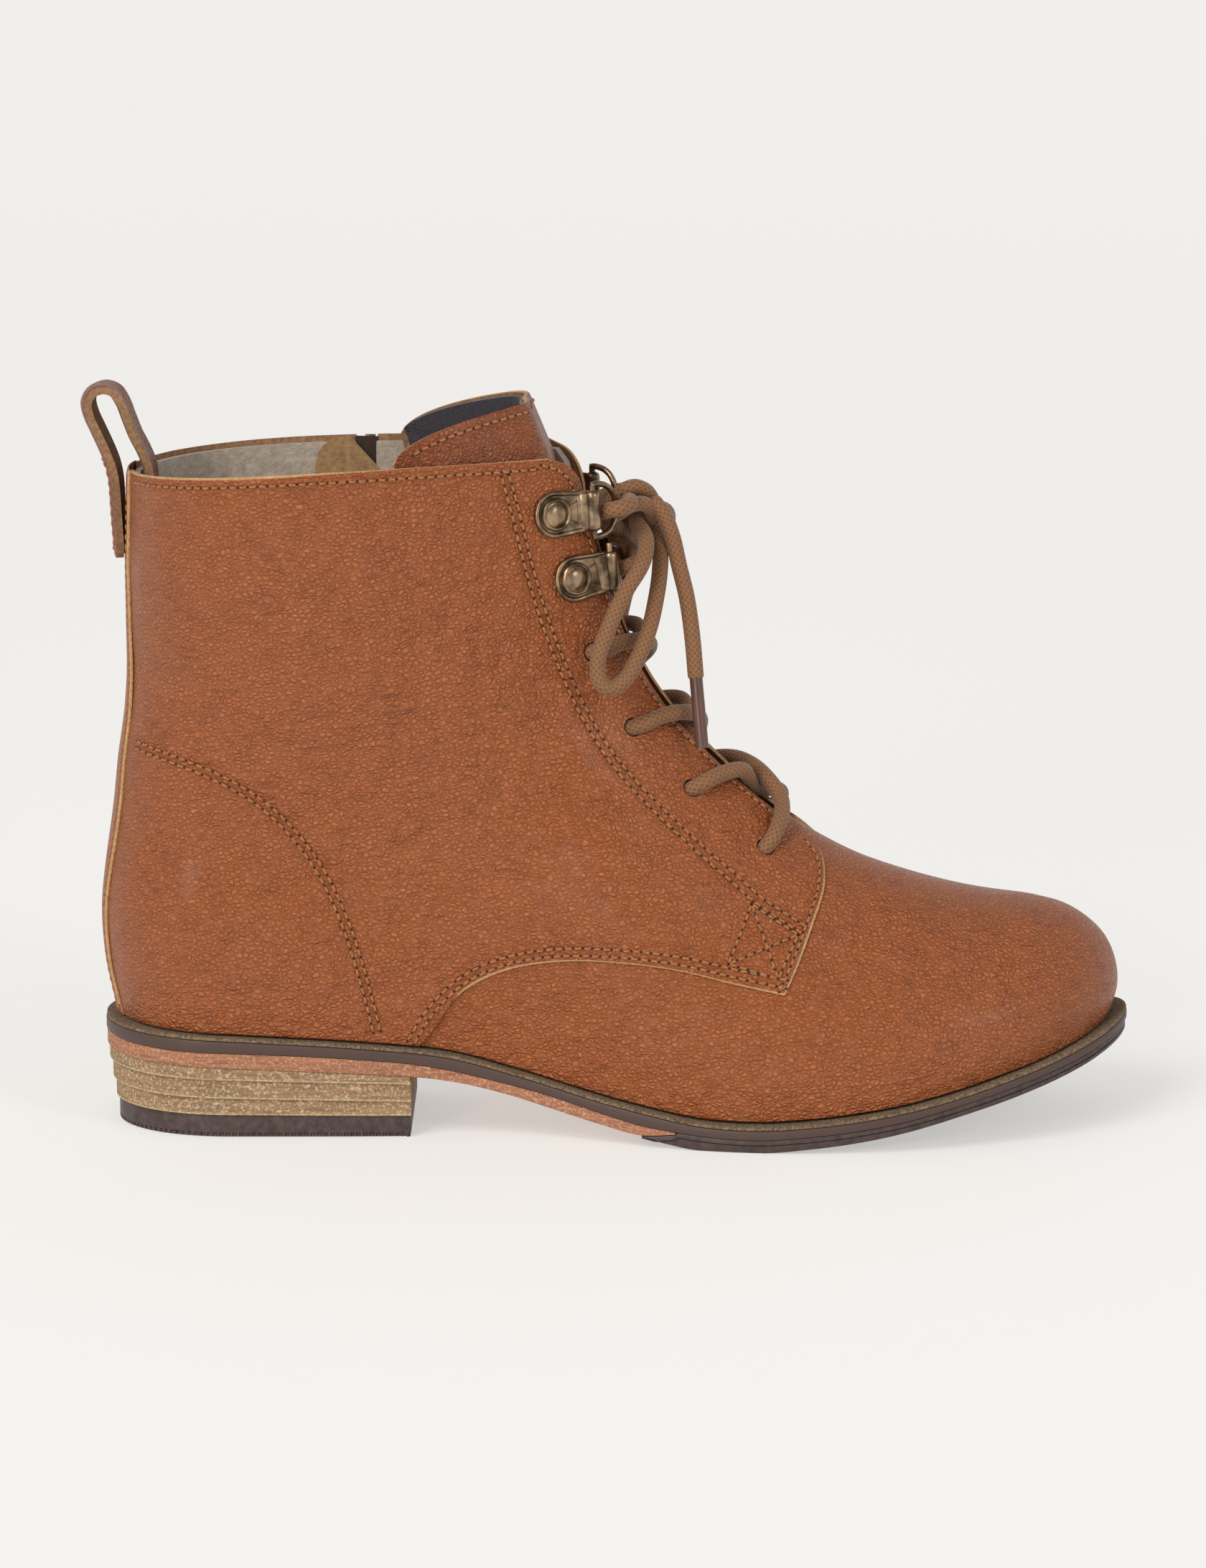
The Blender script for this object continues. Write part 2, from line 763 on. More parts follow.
def lay_uv(mesh, uv):
    """Lays UV per point on a mesh. u runs from 0 to 1 round a tube, so on a face that spans its seam the low
    ones get 1 more."""
    loops = np.zeros(len(mesh.loops), np.int32)
    mesh.loops.foreach_get("vertex_index", loops)
    starts = np.zeros(len(mesh.polygons), np.int32)
    mesh.polygons.foreach_get("loop_start", starts)
    laid = np.asarray(uv, np.float32)[loops]
    corners = np.diff(np.append(starts, len(loops)))
    highest = np.repeat(np.maximum.reduceat(laid[:, 0], starts), corners)
    laid[:, 0] += highest - laid[:, 0] > 0.5
    layer = mesh.uv_layers.new(name="UVMap")
    layer.data.foreach_set("uv", laid.ravel())


def outward_faces(piece):
    """Turns each closed body of a mesh to face outwards, where its grid ran the other way."""
    work = bmesh.new()
    work.from_mesh(piece.data)
    bmesh.ops.recalc_face_normals(work, faces=work.faces)
    work.to_mesh(piece.data)
    work.free()


def mesh_piece(name, points, faces, materials, node=None, kinds=None, uv=None, tone=None, closed=True):
    """A piece of the boot from arrays: points in millimetres, faces as rows of point numbers, and optionally
    the number of each face's material, UV per point, and a tone of leather: 0 is patchy, 1 is burnished.
    It takes the place of that node. Closed bodies are turned to face outwards."""
    faces = faces.tolist() if isinstance(faces, np.ndarray) else [tuple(map(int, f)) for f in faces]
    mesh = bpy.data.meshes.new(name)
    mesh.from_pydata((np.asarray(points, float) * MM).tolist(), [], faces)
    for item in finishes(*materials):
        mesh.materials.append(item)
    if kinds is not None:
        mesh.polygons.foreach_set("material_index", np.asarray(kinds, np.int32))
    if uv is not None:
        lay_uv(mesh, uv)
    if tone is not None:
        made = mesh.attributes.new("tone", "FLOAT", "POINT")
        made.data.foreach_set("value", np.full(len(mesh.vertices), tone, np.float32))
    mesh.shade_smooth()
    mesh.set_sharp_from_angle(angle=SHARP_ANGLE)
    mesh.update()
    piece = bpy.data.objects.new(name, mesh)
    bpy.context.scene.collection.objects.link(piece)
    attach(piece, "boot")
    if closed:
        outward_faces(piece)
    if node:
        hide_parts(node)
    return piece


def grid_quads(rows, columns, closed=False, start=0):
    r, c = np.meshgrid(np.arange(rows - 1), np.arange(columns if closed else columns - 1), indexing="ij")
    d = (c + 1) % columns
    a, b = start + r * columns, start + (r + 1) * columns
    return np.stack([a + c, a + d, b + d, b + c], axis=-1).reshape(-1, 4)


def border(rows, columns):
    """The numbers of a grid's outer points, once round it."""
    n = np.arange(rows * columns).reshape(rows, columns)
    return np.concatenate([n[0], n[1:, -1], n[-1, -2::-1], n[-2:0:-1, 0]])


def sheet_solid(outer, inner):
    """Points and faces of a leather sheet between two grids, with a cut edge round it: the outer face, the
    inner face turned over, and a strip that joins their borders. Also 0 for the outer face, 1 for the cut
    edge and 2 for the inner face."""
    rows, columns = outer.shape[:2]
    count = rows * columns
    points = np.concatenate([outer.reshape(-1, 3), inner.reshape(-1, 3)])
    top = grid_quads(rows, columns)
    below = grid_quads(rows, columns, start=count)[:, ::-1]
    rim = border(rows, columns)
    after = np.roll(rim, -1)
    edge = np.stack([after, rim, rim + count, after + count], axis=-1)
    faces = np.concatenate([top, edge, below])
    kinds = np.concatenate([np.zeros(len(top)), np.ones(len(edge)), np.full(len(below), 2)])
    return points, faces, kinds.astype(np.int32)


def rim_drop(shape, drop):
    """How far a sheet's outer face is pressed in to round it off: at the points on its rim only."""
    fall = np.full(shape, drop)
    fall[1:-1, 1:-1] = 0
    return fall


def leather_sheet(name, places, low, high, side, rows_sewn=(), relief_share=1.0, cut_edge=True, node=None):
    """A cut piece of leather on the skin. places holds turn and level; low and high are how far its two
    faces lie off the skin. The outer face has the folds and grooves, and rounds off at the cut edge."""
    turn, level = places[..., 0], places[..., 1]
    bare = skin(turn, level)
    off = skin_normals(turn, level)
    x, z = bare[..., 0], bare[..., 2]
    folds = relief(x, z, side) * relief_share
    face = high + folds + seam_groove(x, z, rows_sewn) - rim_drop(turn.shape, 0.36)
    outer = bare + off * face[..., None]
    inner = bare + off * (low + folds)[..., None]
    points, faces, kinds = sheet_solid(outer, inner)
    if cut_edge:
        cells = np.zeros((turn.shape[0] - 1, turn.shape[1] - 1), bool)
        cells[[0, -1]] = True
        cells[:, [0, -1]] = True
        cells &= (z - height(WELT_TOP, x))[:-1, :-1] > 3.5
        kinds[: cells.size][cells.ravel()] = 1
    mesh_piece(name, points, faces, LEATHER_SET, node, kinds, tone=EVEN_TONE)


def frames_along(path):
    """Unit tangents and two unit normals along a path, carried along without twist."""
    run = unit(np.gradient(path, axis=0))
    first = np.cross(run[0], [0.0, 0.0, 1.0])
    if np.linalg.norm(first) < 0.1:
        first = np.cross(run[0], [0.0, 1.0, 0.0])
    across = [unit(first)]
    for way in run[1:]:
        across.append(unit(across[-1] - way * np.dot(across[-1], way)))
    across = np.array(across)
    return across, np.cross(run, across)


def tube_grid(path, radii, sides):
    """A ring of points round each point of a path."""
    across, up = frames_along(path)
    a = np.linspace(0, 2 * PI, sides, endpoint=False)
    ring = np.cos(a)[None, :, None] * across[:, None] + np.sin(a)[None, :, None] * up[:, None]
    return path[:, None] + ring * radii[:, None, None]


def ringed(grid, first, last):
    """Points and faces of rings of points, closed by a pole before the first and one after the last."""
    rows, sides = grid.shape[:2]
    c = np.arange(sides)
    d = np.roll(c, -1)
    pole = np.full(sides, rows * sides)
    end = (rows - 1) * sides
    caps = np.concatenate([np.stack([pole, c, d], -1), np.stack([pole + 1, end + d, end + c], -1)])
    faces = grid_quads(rows, sides, closed=True)[:, ::-1].tolist() + caps.tolist()
    return np.concatenate([grid.reshape(-1, 3), [first, last]]), faces


def tube_parts(path, radius, sides, round_ends=True):
    """Points, faces and UV of a closed tube. Its ends round over in three more rings and a pole each."""
    path = np.array(path, float)
    radii = np.full(len(path), radius)
    if round_ends:
        ends = np.radians([75.0, 50.0, 25.0])
        head = [path[0] + unit(path[0] - path[1]) * radius * 0.6 * math.sin(t) for t in ends]
        tail = [path[-1] + unit(path[-1] - path[-2]) * radius * 0.6 * math.sin(t) for t in ends[::-1]]
        path = np.concatenate([head, path, tail])
        radii = np.concatenate([radius * np.cos(ends), radii, radius * np.cos(ends[::-1])])
    points, faces = ringed(tube_grid(path, radii, sides), path[0], path[-1])
    along = distances(path)
    around = np.linspace(0, 1, sides, endpoint=False)
    uv = np.stack(np.broadcast_arrays(around[None, :], along[:, None]), axis=-1).reshape(-1, 2)
    return points, faces, np.concatenate([uv, [[0, along[0]], [0, along[-1]]]])


def joined(parts):
    """Several pairs of points and faces as one pair."""
    points, faces, start = [], [], 0
    for part_points, part_faces in parts:
        points.append(np.asarray(part_points, float))
        faces += [[int(i) + start for i in face] for face in part_faces]
        start += len(part_points)
    return np.concatenate(points), faces


# Materials


def linear(text):
    """sRGB hex to linear RGBA."""
    value = np.array([int(text[i : i + 2], 16) for i in (1, 3, 5)]) / 255
    value = np.where(value <= 0.04045, value / 12.92, ((value + 0.055) / 1.055) ** 2.4)
    return (*value, 1.0)


def add(tree, kind, inputs=None, **settings):
    """Adds a node with its settings; each input is a value or another node's output."""
    node = tree.nodes.new(kind)
    for key, value in settings.items():
        setattr(node, key, value)
    for key, value in (inputs or {}).items():
        if isinstance(value, bpy.types.NodeSocket):
            tree.links.new(value, node.inputs[key])
        else:
            node.inputs[key].default_value = value
    return node


def new_material(name, roughness, metallic=0.0, **values):
    """A material with an empty shader that has these plain values, its tree, and its shader."""
    made = bpy.data.materials.new(name)
    made.use_nodes = True
    tree = made.node_tree
    shader = tree.nodes["Principled BSDF"]
    shader.inputs["Roughness"].default_value = roughness
    shader.inputs["Metallic"].default_value = metallic
    for key, value in values.items():
        shader.inputs[key.replace("_", " ")].default_value = value
    return made, tree, shader


def object_coordinates(tree, scale=(1.0, 1.0, 1.0), turn=(0.0, 0.0, 0.0)):
    place = add(tree, "ShaderNodeTexCoord").outputs["Object"]
    return add(
        tree, "ShaderNodeMapping", {"Vector": place, "Scale": scale, "Rotation": turn}
    ).outputs["Vector"]


def mix(tree, share, first, second, blend="MIX"):
    node = add(tree, "ShaderNodeMix", data_type="RGBA", blend_type=blend)
    for number, value in ((0, share), (6, first), (7, second)):
        if isinstance(value, bpy.types.NodeSocket):
            tree.links.new(value, node.inputs[number])
        else:
            node.inputs[number].default_value = value
    return node.outputs[2]


def ramp(tree, value, low, high):
    return add(
        tree,
        "ShaderNodeMapRange",
        {"Value": value, "From Min": low, "From Max": high, "To Min": 0.0, "To Max": 1.0},
    ).outputs["Result"]


def leather_material(name, base, dark, grain_depth=0.00042, gloss=0.32):
    """Full grain leather, drum dyed, milled to a pebbled grain and lightly waxed. Pebbles about 1.3 mm wide
    with fine valleys between them, which hold more dye; a soft sheen on their tops, and slow changes of
    tone. The tone attribute darkens and reddens it where it was burnished by hand."""
    made, tree, shader = new_material(name, gloss, IOR=1.48, Coat_Weight=0.14, Coat_Roughness=0.3)
    size = 1 / sizes().grain
    place = object_coordinates(tree, (size * 0.82, size, size * 1.12), (0.0, math.radians(14), 0.0))
    wander = add(tree, "ShaderNodeTexNoise", {"Vector": place, "Scale": 0.55, "Detail": 2.0})
    warped = add(
        tree,
        "ShaderNodeVectorMath",
        {0: wander.outputs["Color"], 1: (1.1, 1.1, 1.1)},
        operation="MULTIPLY",
    ).outputs["Vector"]
    moved = add(tree, "ShaderNodeVectorMath", {0: place, 1: warped}, operation="ADD").outputs["Vector"]
    cells = add(
        tree,
        "ShaderNodeTexVoronoi",
        {"Vector": moved, "Scale": 1.0, "Randomness": 0.9},
        feature="DISTANCE_TO_EDGE",
    ).outputs["Distance"]
    pebbles = ramp(tree, cells, 0.0, 0.34)
    fine = add(tree, "ShaderNodeTexNoise", {"Vector": place, "Scale": 2.6, "Detail": 3.0})
    crinkled = add(
        tree,
        "ShaderNodeTexNoise",
        {"Vector": object_coordinates(tree, (230.0, 230.0, 760.0), (0.0, math.radians(-24), 0.0)),
         "Scale": 1.0, "Detail": 3.0, "Distortion": 0.6},
    ).outputs["Fac"]
    worn = add(
        tree, "ShaderNodeTexNoise", {"Vector": object_coordinates(tree, (27.0, 27.0, 31.0)), "Detail": 2.0}
    ).outputs["Fac"]
    worn = ramp(tree, worn, 0.38, 0.62)
    slow = add(
        tree,
        "ShaderNodeTexNoise",
        {"Vector": object_coordinates(tree, (38.0, 38.0, 46.0)), "Scale": 1.0, "Detail": 3.0},
    )
    tone = add(tree, "ShaderNodeAttribute", attribute_name="tone", attribute_type="GEOMETRY").outputs["Fac"]
    patchy = ramp(tree, slow.outputs["Fac"], 0.36, 0.68)
    share = add(
        tree, "ShaderNodeMath", {0: patchy, 1: -EVEN_TONE, 2: tone}, operation="MULTIPLY_ADD", use_clamp=True
    ).outputs[0]
    colour = mix(tree, share, linear(base), linear(dark))
    valley = ramp(tree, cells, 0.24, 0.0)
    valley = add(tree, "ShaderNodeMath", {0: valley, 1: 0.42}, operation="MULTIPLY").outputs[0]
    colour = mix(tree, valley, colour, linear("#5A2B15"))
    hollow = add(tree, "ShaderNodeMath", {0: ramp(tree, crinkled, 0.5, 0.34), 1: worn}, operation="MULTIPLY")
    hollow = add(tree, "ShaderNodeMath", {0: hollow.outputs[0], 1: 0.45}, operation="MULTIPLY").outputs[0]
    colour = mix(tree, hollow, colour, linear(dark))
    tree.links.new(colour, shader.inputs["Base Color"])
    mixed = add(
        tree, "ShaderNodeMath", {0: fine.outputs["Fac"], 1: 0.5, 2: pebbles}, operation="MULTIPLY_ADD"
    ).outputs[0]
    folded = add(tree, "ShaderNodeMath", {0: crinkled, 1: worn}, operation="MULTIPLY").outputs[0]
    mixed = add(tree, "ShaderNodeMath", {0: folded, 1: 3.4, 2: mixed}, operation="MULTIPLY_ADD").outputs[0]
    bump = add(
        tree,
        "ShaderNodeBump",
        {"Height": mixed, "Strength": 1.0, "Distance": grain_depth},
    ).outputs["Normal"]
    tree.links.new(bump, shader.inputs["Normal"])
    rough = add(
        tree,
        "ShaderNodeMapRange",
        {"Value": pebbles, "From Min": 0.0, "From Max": 1.0, "To Min": gloss + 0.2, "To Max": gloss},
    ).outputs["Result"]
    tree.links.new(rough, shader.inputs["Roughness"])
    return made


def fibre_material(name, first, second, scale, depth, roughness=0.9, stretch=(1.0, 1.0, 1.0), sheen=0.0):
    """A matt, fibrous surface, such as a raw cut edge, suede, fleece or stacked leather: two tones of the
    same colour in a noise of that many spots to the metre, with the same noise as relief."""
    made, tree, shader = new_material(name, roughness, Sheen_Weight=sheen, Sheen_Roughness=0.5)
    place = object_coordinates(tree, tuple(scale * s for s in stretch))
    spots = add(tree, "ShaderNodeTexNoise", {"Vector": place, "Scale": 1.0, "Detail": 5.0, "Roughness": 0.65})
    share = ramp(tree, spots.outputs["Fac"], 0.34, 0.66)
    tree.links.new(mix(tree, share, linear(first), linear(second)), shader.inputs["Base Color"])
    bump = add(tree, "ShaderNodeBump", {"Height": spots.outputs["Fac"], "Strength": 0.7, "Distance": depth})
    tree.links.new(bump.outputs["Normal"], shader.inputs["Normal"])
    return made


def metal_material(name, colour, dark, roughness=0.3):
    """Brass plated and darkened to an antique finish: brown in the hollows, rubbed brighter, fine scratches."""
    made, tree, shader = new_material(name, roughness, 1.0)
    place = object_coordinates(tree, (260.0, 260.0, 260.0))
    spots = add(tree, "ShaderNodeTexNoise", {"Vector": place, "Scale": 1.0, "Detail": 4.0})
    share = ramp(tree, spots.outputs["Fac"], 0.35, 0.65)
    tree.links.new(mix(tree, share, linear(dark), linear(colour)), shader.inputs["Base Color"])
    fine = add(
        tree,
        "ShaderNodeTexNoise",
        {"Vector": object_coordinates(tree, (900.0, 900.0, 4000.0)), "Scale": 1.0, "Detail": 2.0},
    )
    bump = add(
        tree, "ShaderNodeBump", {"Height": fine.outputs["Fac"], "Strength": 0.12, "Distance": 0.00005}
    )
    tree.links.new(bump.outputs["Normal"], shader.inputs["Normal"])
    rough = add(
        tree,
        "ShaderNodeMapRange",
        {"Value": spots.outputs["Fac"], "From Min": 0.3, "From Max": 0.7, "To Min": 0.42, "To Max": 0.24},
    )
    tree.links.new(rough.outputs["Result"], shader.inputs["Roughness"])
    return made


def braid_material(name, colour, dark):
    """Waxed cotton lace, braided from 16 yarns: slanting yarns about 1 mm wide cross in both directions.
    The pattern reads UV, u once round the lace and v in millimetres along it."""
    made, tree, shader = new_material(name, 0.72, Sheen_Weight=0.25, Sheen_Roughness=0.4)
    uv = add(tree, "ShaderNodeUVMap", uv_map="UVMap").outputs["UV"]
    apart = add(tree, "ShaderNodeSeparateXYZ", {"Vector": uv})
    waves = []
    for lean in (1.0, -1.0):
        along = add(tree, "ShaderNodeMath", {0: apart.outputs["Y"], 1: 0.62}, operation="MULTIPLY").outputs[0]
        turns = add(
            tree, "ShaderNodeMath", {0: apart.outputs["X"], 1: 8.0 * lean}, operation="MULTIPLY"
        ).outputs[0]
        total = add(tree, "ShaderNodeMath", {0: along, 1: turns}, operation="ADD").outputs[0]
        angle = add(tree, "ShaderNodeMath", {0: total, 1: 2 * PI}, operation="MULTIPLY").outputs[0]
        waves.append(add(tree, "ShaderNodeMath", {0: angle}, operation="SINE").outputs[0])
    braid = add(tree, "ShaderNodeMath", {0: waves[0], 1: waves[1]}, operation="MAXIMUM").outputs[0]
    place = object_coordinates(tree, (1700.0, 1700.0, 1700.0))
    fuzz = add(tree, "ShaderNodeTexNoise", {"Vector": place, "Scale": 1.0, "Detail": 4.0}).outputs["Fac"]
    share = ramp(tree, braid, -1.1, 1.0)
    tint = mix(tree, share, linear(dark), linear(colour))
    tint = mix(tree, add(tree, "ShaderNodeMath", {0: fuzz, 1: 0.22}, operation="MULTIPLY").outputs[0],
               tint, linear("#A98560"))
    tree.links.new(tint, shader.inputs["Base Color"])
    both = add(tree, "ShaderNodeMath", {0: fuzz, 1: 0.8, 2: braid}, operation="MULTIPLY_ADD").outputs[0]
    bump = add(tree, "ShaderNodeBump", {"Height": both, "Strength": 0.55, "Distance": 0.00018})
    tree.links.new(bump.outputs["Normal"], shader.inputs["Normal"])
    return made


def thread_material(name, colour, dark):
    """Bonded sewing thread: three plies laid together, with a slight wax shine."""
    made, tree, shader = new_material(name, 0.5)
    place = object_coordinates(tree, (2600.0, 2600.0, 2600.0))
    plies = add(tree, "ShaderNodeTexNoise", {"Vector": place, "Scale": 1.0, "Detail": 2.0}).outputs["Fac"]
    share = ramp(tree, plies, 0.35, 0.65)
    tree.links.new(mix(tree, share, linear(dark), linear(colour)), shader.inputs["Base Color"])
    bump = add(tree, "ShaderNodeBump", {"Height": plies, "Strength": 0.5, "Distance": 0.0001})
    tree.links.new(bump.outputs["Normal"], shader.inputs["Normal"])
    return made


def stacked_material(name, first, second, pale):
    """Leather lifts sanded at the edge: long fibres along the layers, open and pale, with darker streaks."""
    made, tree, shader = new_material(name, 0.88)
    long = add(
        tree,
        "ShaderNodeTexNoise",
        {"Vector": object_coordinates(tree, (90.0, 90.0, 1500.0)), "Scale": 1.0, "Detail": 6.0,
         "Roughness": 0.7},
    ).outputs["Fac"]
    spots = add(
        tree,
        "ShaderNodeTexNoise",
        {"Vector": object_coordinates(tree, (1400.0, 1400.0, 1600.0)), "Scale": 1.0, "Detail": 4.0},
    ).outputs["Fac"]
    colour = mix(tree, ramp(tree, long, 0.38, 0.62), linear(first), linear(second))
    colour = mix(tree, ramp(tree, spots, 0.5, 0.72), colour, linear(pale))
    tree.links.new(colour, shader.inputs["Base Color"])
    both = add(tree, "ShaderNodeMath", {0: spots, 1: 1.0, 2: long}, operation="MULTIPLY_ADD").outputs[0]
    bump = add(tree, "ShaderNodeBump", {"Height": both, "Strength": 0.6, "Distance": 0.0003})
    tree.links.new(bump.outputs["Normal"], shader.inputs["Normal"])
    return made


MATERIALS = {}


def finish(name):
    """The material of that name, made the first time that it is asked for."""
    if name in MATERIALS:
        return MATERIALS[name]
    c = colours()
    makers = {
        "full_grain_leather": lambda n: leather_material(n, c.leather, c.leather_dark),
        "raw_leather_edge": lambda n: fibre_material(n, c.raw_edge, "#9C7748", 1500, 0.0002),
        "leather_flesh_side": lambda n: fibre_material(n, "#A07A56", "#77573C", 900, 0.0003),
        "bonded_thread": lambda n: thread_material(n, c.thread, "#7C5030"),
        "needle_hole": lambda n: fibre_material(n, "#2B1710", "#40241A", 900, 0.0001),
        "braided_waxed_cotton": lambda n: braid_material(n, c.lace, "#50351F"),
        "antique_brass": lambda n: metal_material(n, c.brass, "#514437"),
        "fleece_lining": lambda n: fibre_material(n, c.fur, "#9C9080", 420, 0.0012, 1.0, sheen=0.5),
        "suede_leather": lambda n: fibre_material(n, c.suede, "#856440", 700, 0.0004, 0.95, sheen=0.4),
        "stained_sole_edge": lambda n: fibre_material(
            n, c.welt, "#4A352C", 160, 0.00012, 0.5, (0.6, 0.6, 5.0)
        ),
        "welt_strip": lambda n: fibre_material(n, "#907A5E", "#463628", 1250, 0.0006, 1.0),
        "sole_leather": lambda n: stacked_material(n, c.waist, "#8B5B43", "#C79C80"),
        "stacked_leather": lambda n: stacked_material(n, c.lifts, "#7B6147", "#CDB596"),
        "lift_glue_line": lambda n: fibre_material(n, "#C9B48E", "#8C7048", 1400, 0.0002),
        "moulded_rubber": lambda n: fibre_material(n, c.rubber, "#2E211E", 500, 0.00006, 0.5),
        "cotton_zip_tape": lambda n: fibre_material(n, "#3F2C22", "#2A1C16", 1800, 0.0002, 0.85),
        "quilted_lining": lambda n: fibre_material(n, "#403A42", "#2D2930", 1300, 0.0003, 0.9, sheen=0.3),
        "lace_tag_film": lambda n: fibre_material(
            n, "#4A3026", "#5E4034", 300, 0.0001, 0.3, (1.0, 1.0, 0.15)
        ),
        "felt_insole": lambda n: fibre_material(n, "#8F8574", "#6E6556", 500, 0.0008, 1.0, sheen=0.4),
    }
    MATERIALS[name] = makers[name](name)
    return MATERIALS[name]


LEATHER_SET = ("full_grain_leather", "raw_leather_edge", "leather_flesh_side")


def finishes(*names):
    return [finish(n) for n in names]


# Pieces of the upper


def quarter_rows():
    """The rows of stitches on a quarter, each as a side view polyline."""
    low = smooth_path(QUARTER_LOW, 90)
    front = smooth_path(QUARTER_FRONT, 40)
    facing = smooth_path(FACING_SEAM, 110)
    counter = smooth_path(COUNTER_SEAM, 90)
    levels = np.linspace(80.0, 158.0, 60)
    facing_edge = np.array([(edge_x(z) - 1.6, z) for z in levels])
    corner = smooth_path(COLLAR_CORNER, 30) + np.array([[-2.0, -1.4]])
    collar_x = np.linspace(-30.0, 72.0, 60)
    collar = np.stack([collar_x, collar_z(collar_x) - 2.5], axis=-1)
    box = np.array(TACK_BOX)
    tack = [even_path([box[i], box[(i + 1) % 4]], 12) for i in range(4)]
    tack += [even_path([box[0], box[2]], 16), even_path([box[1], box[3]], 16)]
    rows = [
        beside(low, 1.6),
        beside(low, 3.5),
        beside(front, 1.7),
        counter,
        beside(counter, -1.9),
        facing,
        beside(facing, 1.9),
        facing_edge,
        corner,
        collar,
    ]
    return rows + tack


def quarter_places(side, across=170, up=150):
    """Turn and level of a quarter's grid, filled in between its four edges."""
    hide = sizes().backstay_half / MM - 2.0
    levels = np.linspace(0, 1, 60)
    back = []
    for level in levels:
        turns = np.linspace(0.0, 1.0, 200)
        points = skin(turns, np.full(200, level))
        away = np.abs(points[:, 1] - middle(points[:, 0], points[:, 2]))
        back.append((np.interp(hide, away, turns), level))
    back = np.array(back)
    if side > 0:
        back[:, 0] = 2 * PI - back[:, 0]
    low = locate(smooth_path(QUARTER_LOW, 60), side)
    foot_turn = np.linspace(back[0, 0], low[0, 0], 60)
    foot = np.stack([foot_turn, np.zeros(60)], axis=-1)
    low[0, 1] = 0.0
    bottom = np.concatenate([foot, low[1:]])
    front = smooth_path(QUARTER_FRONT, 40)
    levels = np.linspace(79.0, 157.0, 60)
    facing = np.array([(edge_x(z), z) for z in levels])
    corner = smooth_path(COLLAR_CORNER, 40)
    bend = smooth_path([front[-1], (139.4, 78.9), facing[0]], 8)
    right = np.concatenate([front[:-1], bend, facing[1:], corner])
    right = locate(right, side)
    right[-1, 1] = 1.0
    top = np.stack([np.linspace(back[-1, 0], right[-1, 0], 60), np.ones(60)], axis=-1)
    return coons(
        spaced(bottom, across), spaced(top, across), spaced(back, up), spaced(right, up)
    )


def spaced(places, count):
    """Turn and level at an even spacing over the skin, not in the parameters, with a narrow first and last
    step for the rounded cut edge."""
    fine = even_path(places, 600)
    along = distances(skin(fine[:, 0], fine[:, 1]))
    at = np.linspace(0, along[-1], count)
    if at[1] > 0.5:
        at[1], at[-2] = 0.45, along[-1] - 0.45
    return sample(at, along, fine)


def make_upper():
    step = sizes().quarter_step / MM
    hidden = smooth_path(VAMP_HIDDEN, 60)
    ridge_level = float(np.interp(81.8, FRONT_Z, np.linspace(0, 1, 400))) ** (1 / LEVEL_POWER)
    halves = []
    for side in (-1, 1):
        high = np.concatenate([locate(hidden, side), [[PI, ridge_level]]])
        foot = locate([(33.0, float(height(WELT_TOP, 33.0)) + FEATHER_GAP)], side)[0]
        low = np.array([(t, 0.0) for t in np.linspace(foot[0], PI, 60)])
        left = np.array([(foot[0], 0.0), tuple(high[0])])
        right = np.array([(PI, 0.0), (PI, high[-1, 1])])
        halves.append(coons(spaced(low, 150), spaced(high, 150), spaced(left, 84), spaced(right, 84)))
    places = np.concatenate([halves[0], halves[1][:, -2::-1]], axis=1)
    leather_sheet("vamp", places, -WALL + 0.9, 0.0, -1, cut_edge=False, node="upper")
    rows = quarter_rows()[GROOVED]
    for side, word in SIDES:
        places = quarter_places(side)
        if side > 0:
            places = places[:, ::-1]
        leather_sheet("quarter_" + word, places, 0.06, step, side, rows)
    make_backstay(step)
    make_lining()


def backstay_places(across, rows):
    """Turn and level of the back strip: at each level the skin's points at those shares of its half-width
    from the middle."""
    half = sizes().backstay_half / MM
    levels = np.linspace(0.0, 1.0, rows)
    turns = np.zeros((rows, len(across)))
    fan = np.linspace(0.0, 1.1, 300)
    for r, level in enumerate(levels):
        points = skin(fan, np.full(300, level))
        away = np.abs(points[:, 1] - middle(points[:, 0], points[:, 2]))
        turns[r] = -np.sign(across) * np.interp(np.abs(across) * half, away, fan)
    return np.stack([turns, np.tile(levels[:, None], (1, len(across)))], axis=-1)


def make_backstay(step):
    """The strip sewn down the back, over both quarters' edges."""
    across = np.concatenate([[-1.0], np.linspace(-0.955, 0.955, 25), [1.0]])
    places = backstay_places(across, 150)[:, ::-1]
    low, high = step + 0.06, step + sizes().backstay_step / MM
    leather_sheet("backstay", places, low, high, -1, relief_share=0.6)


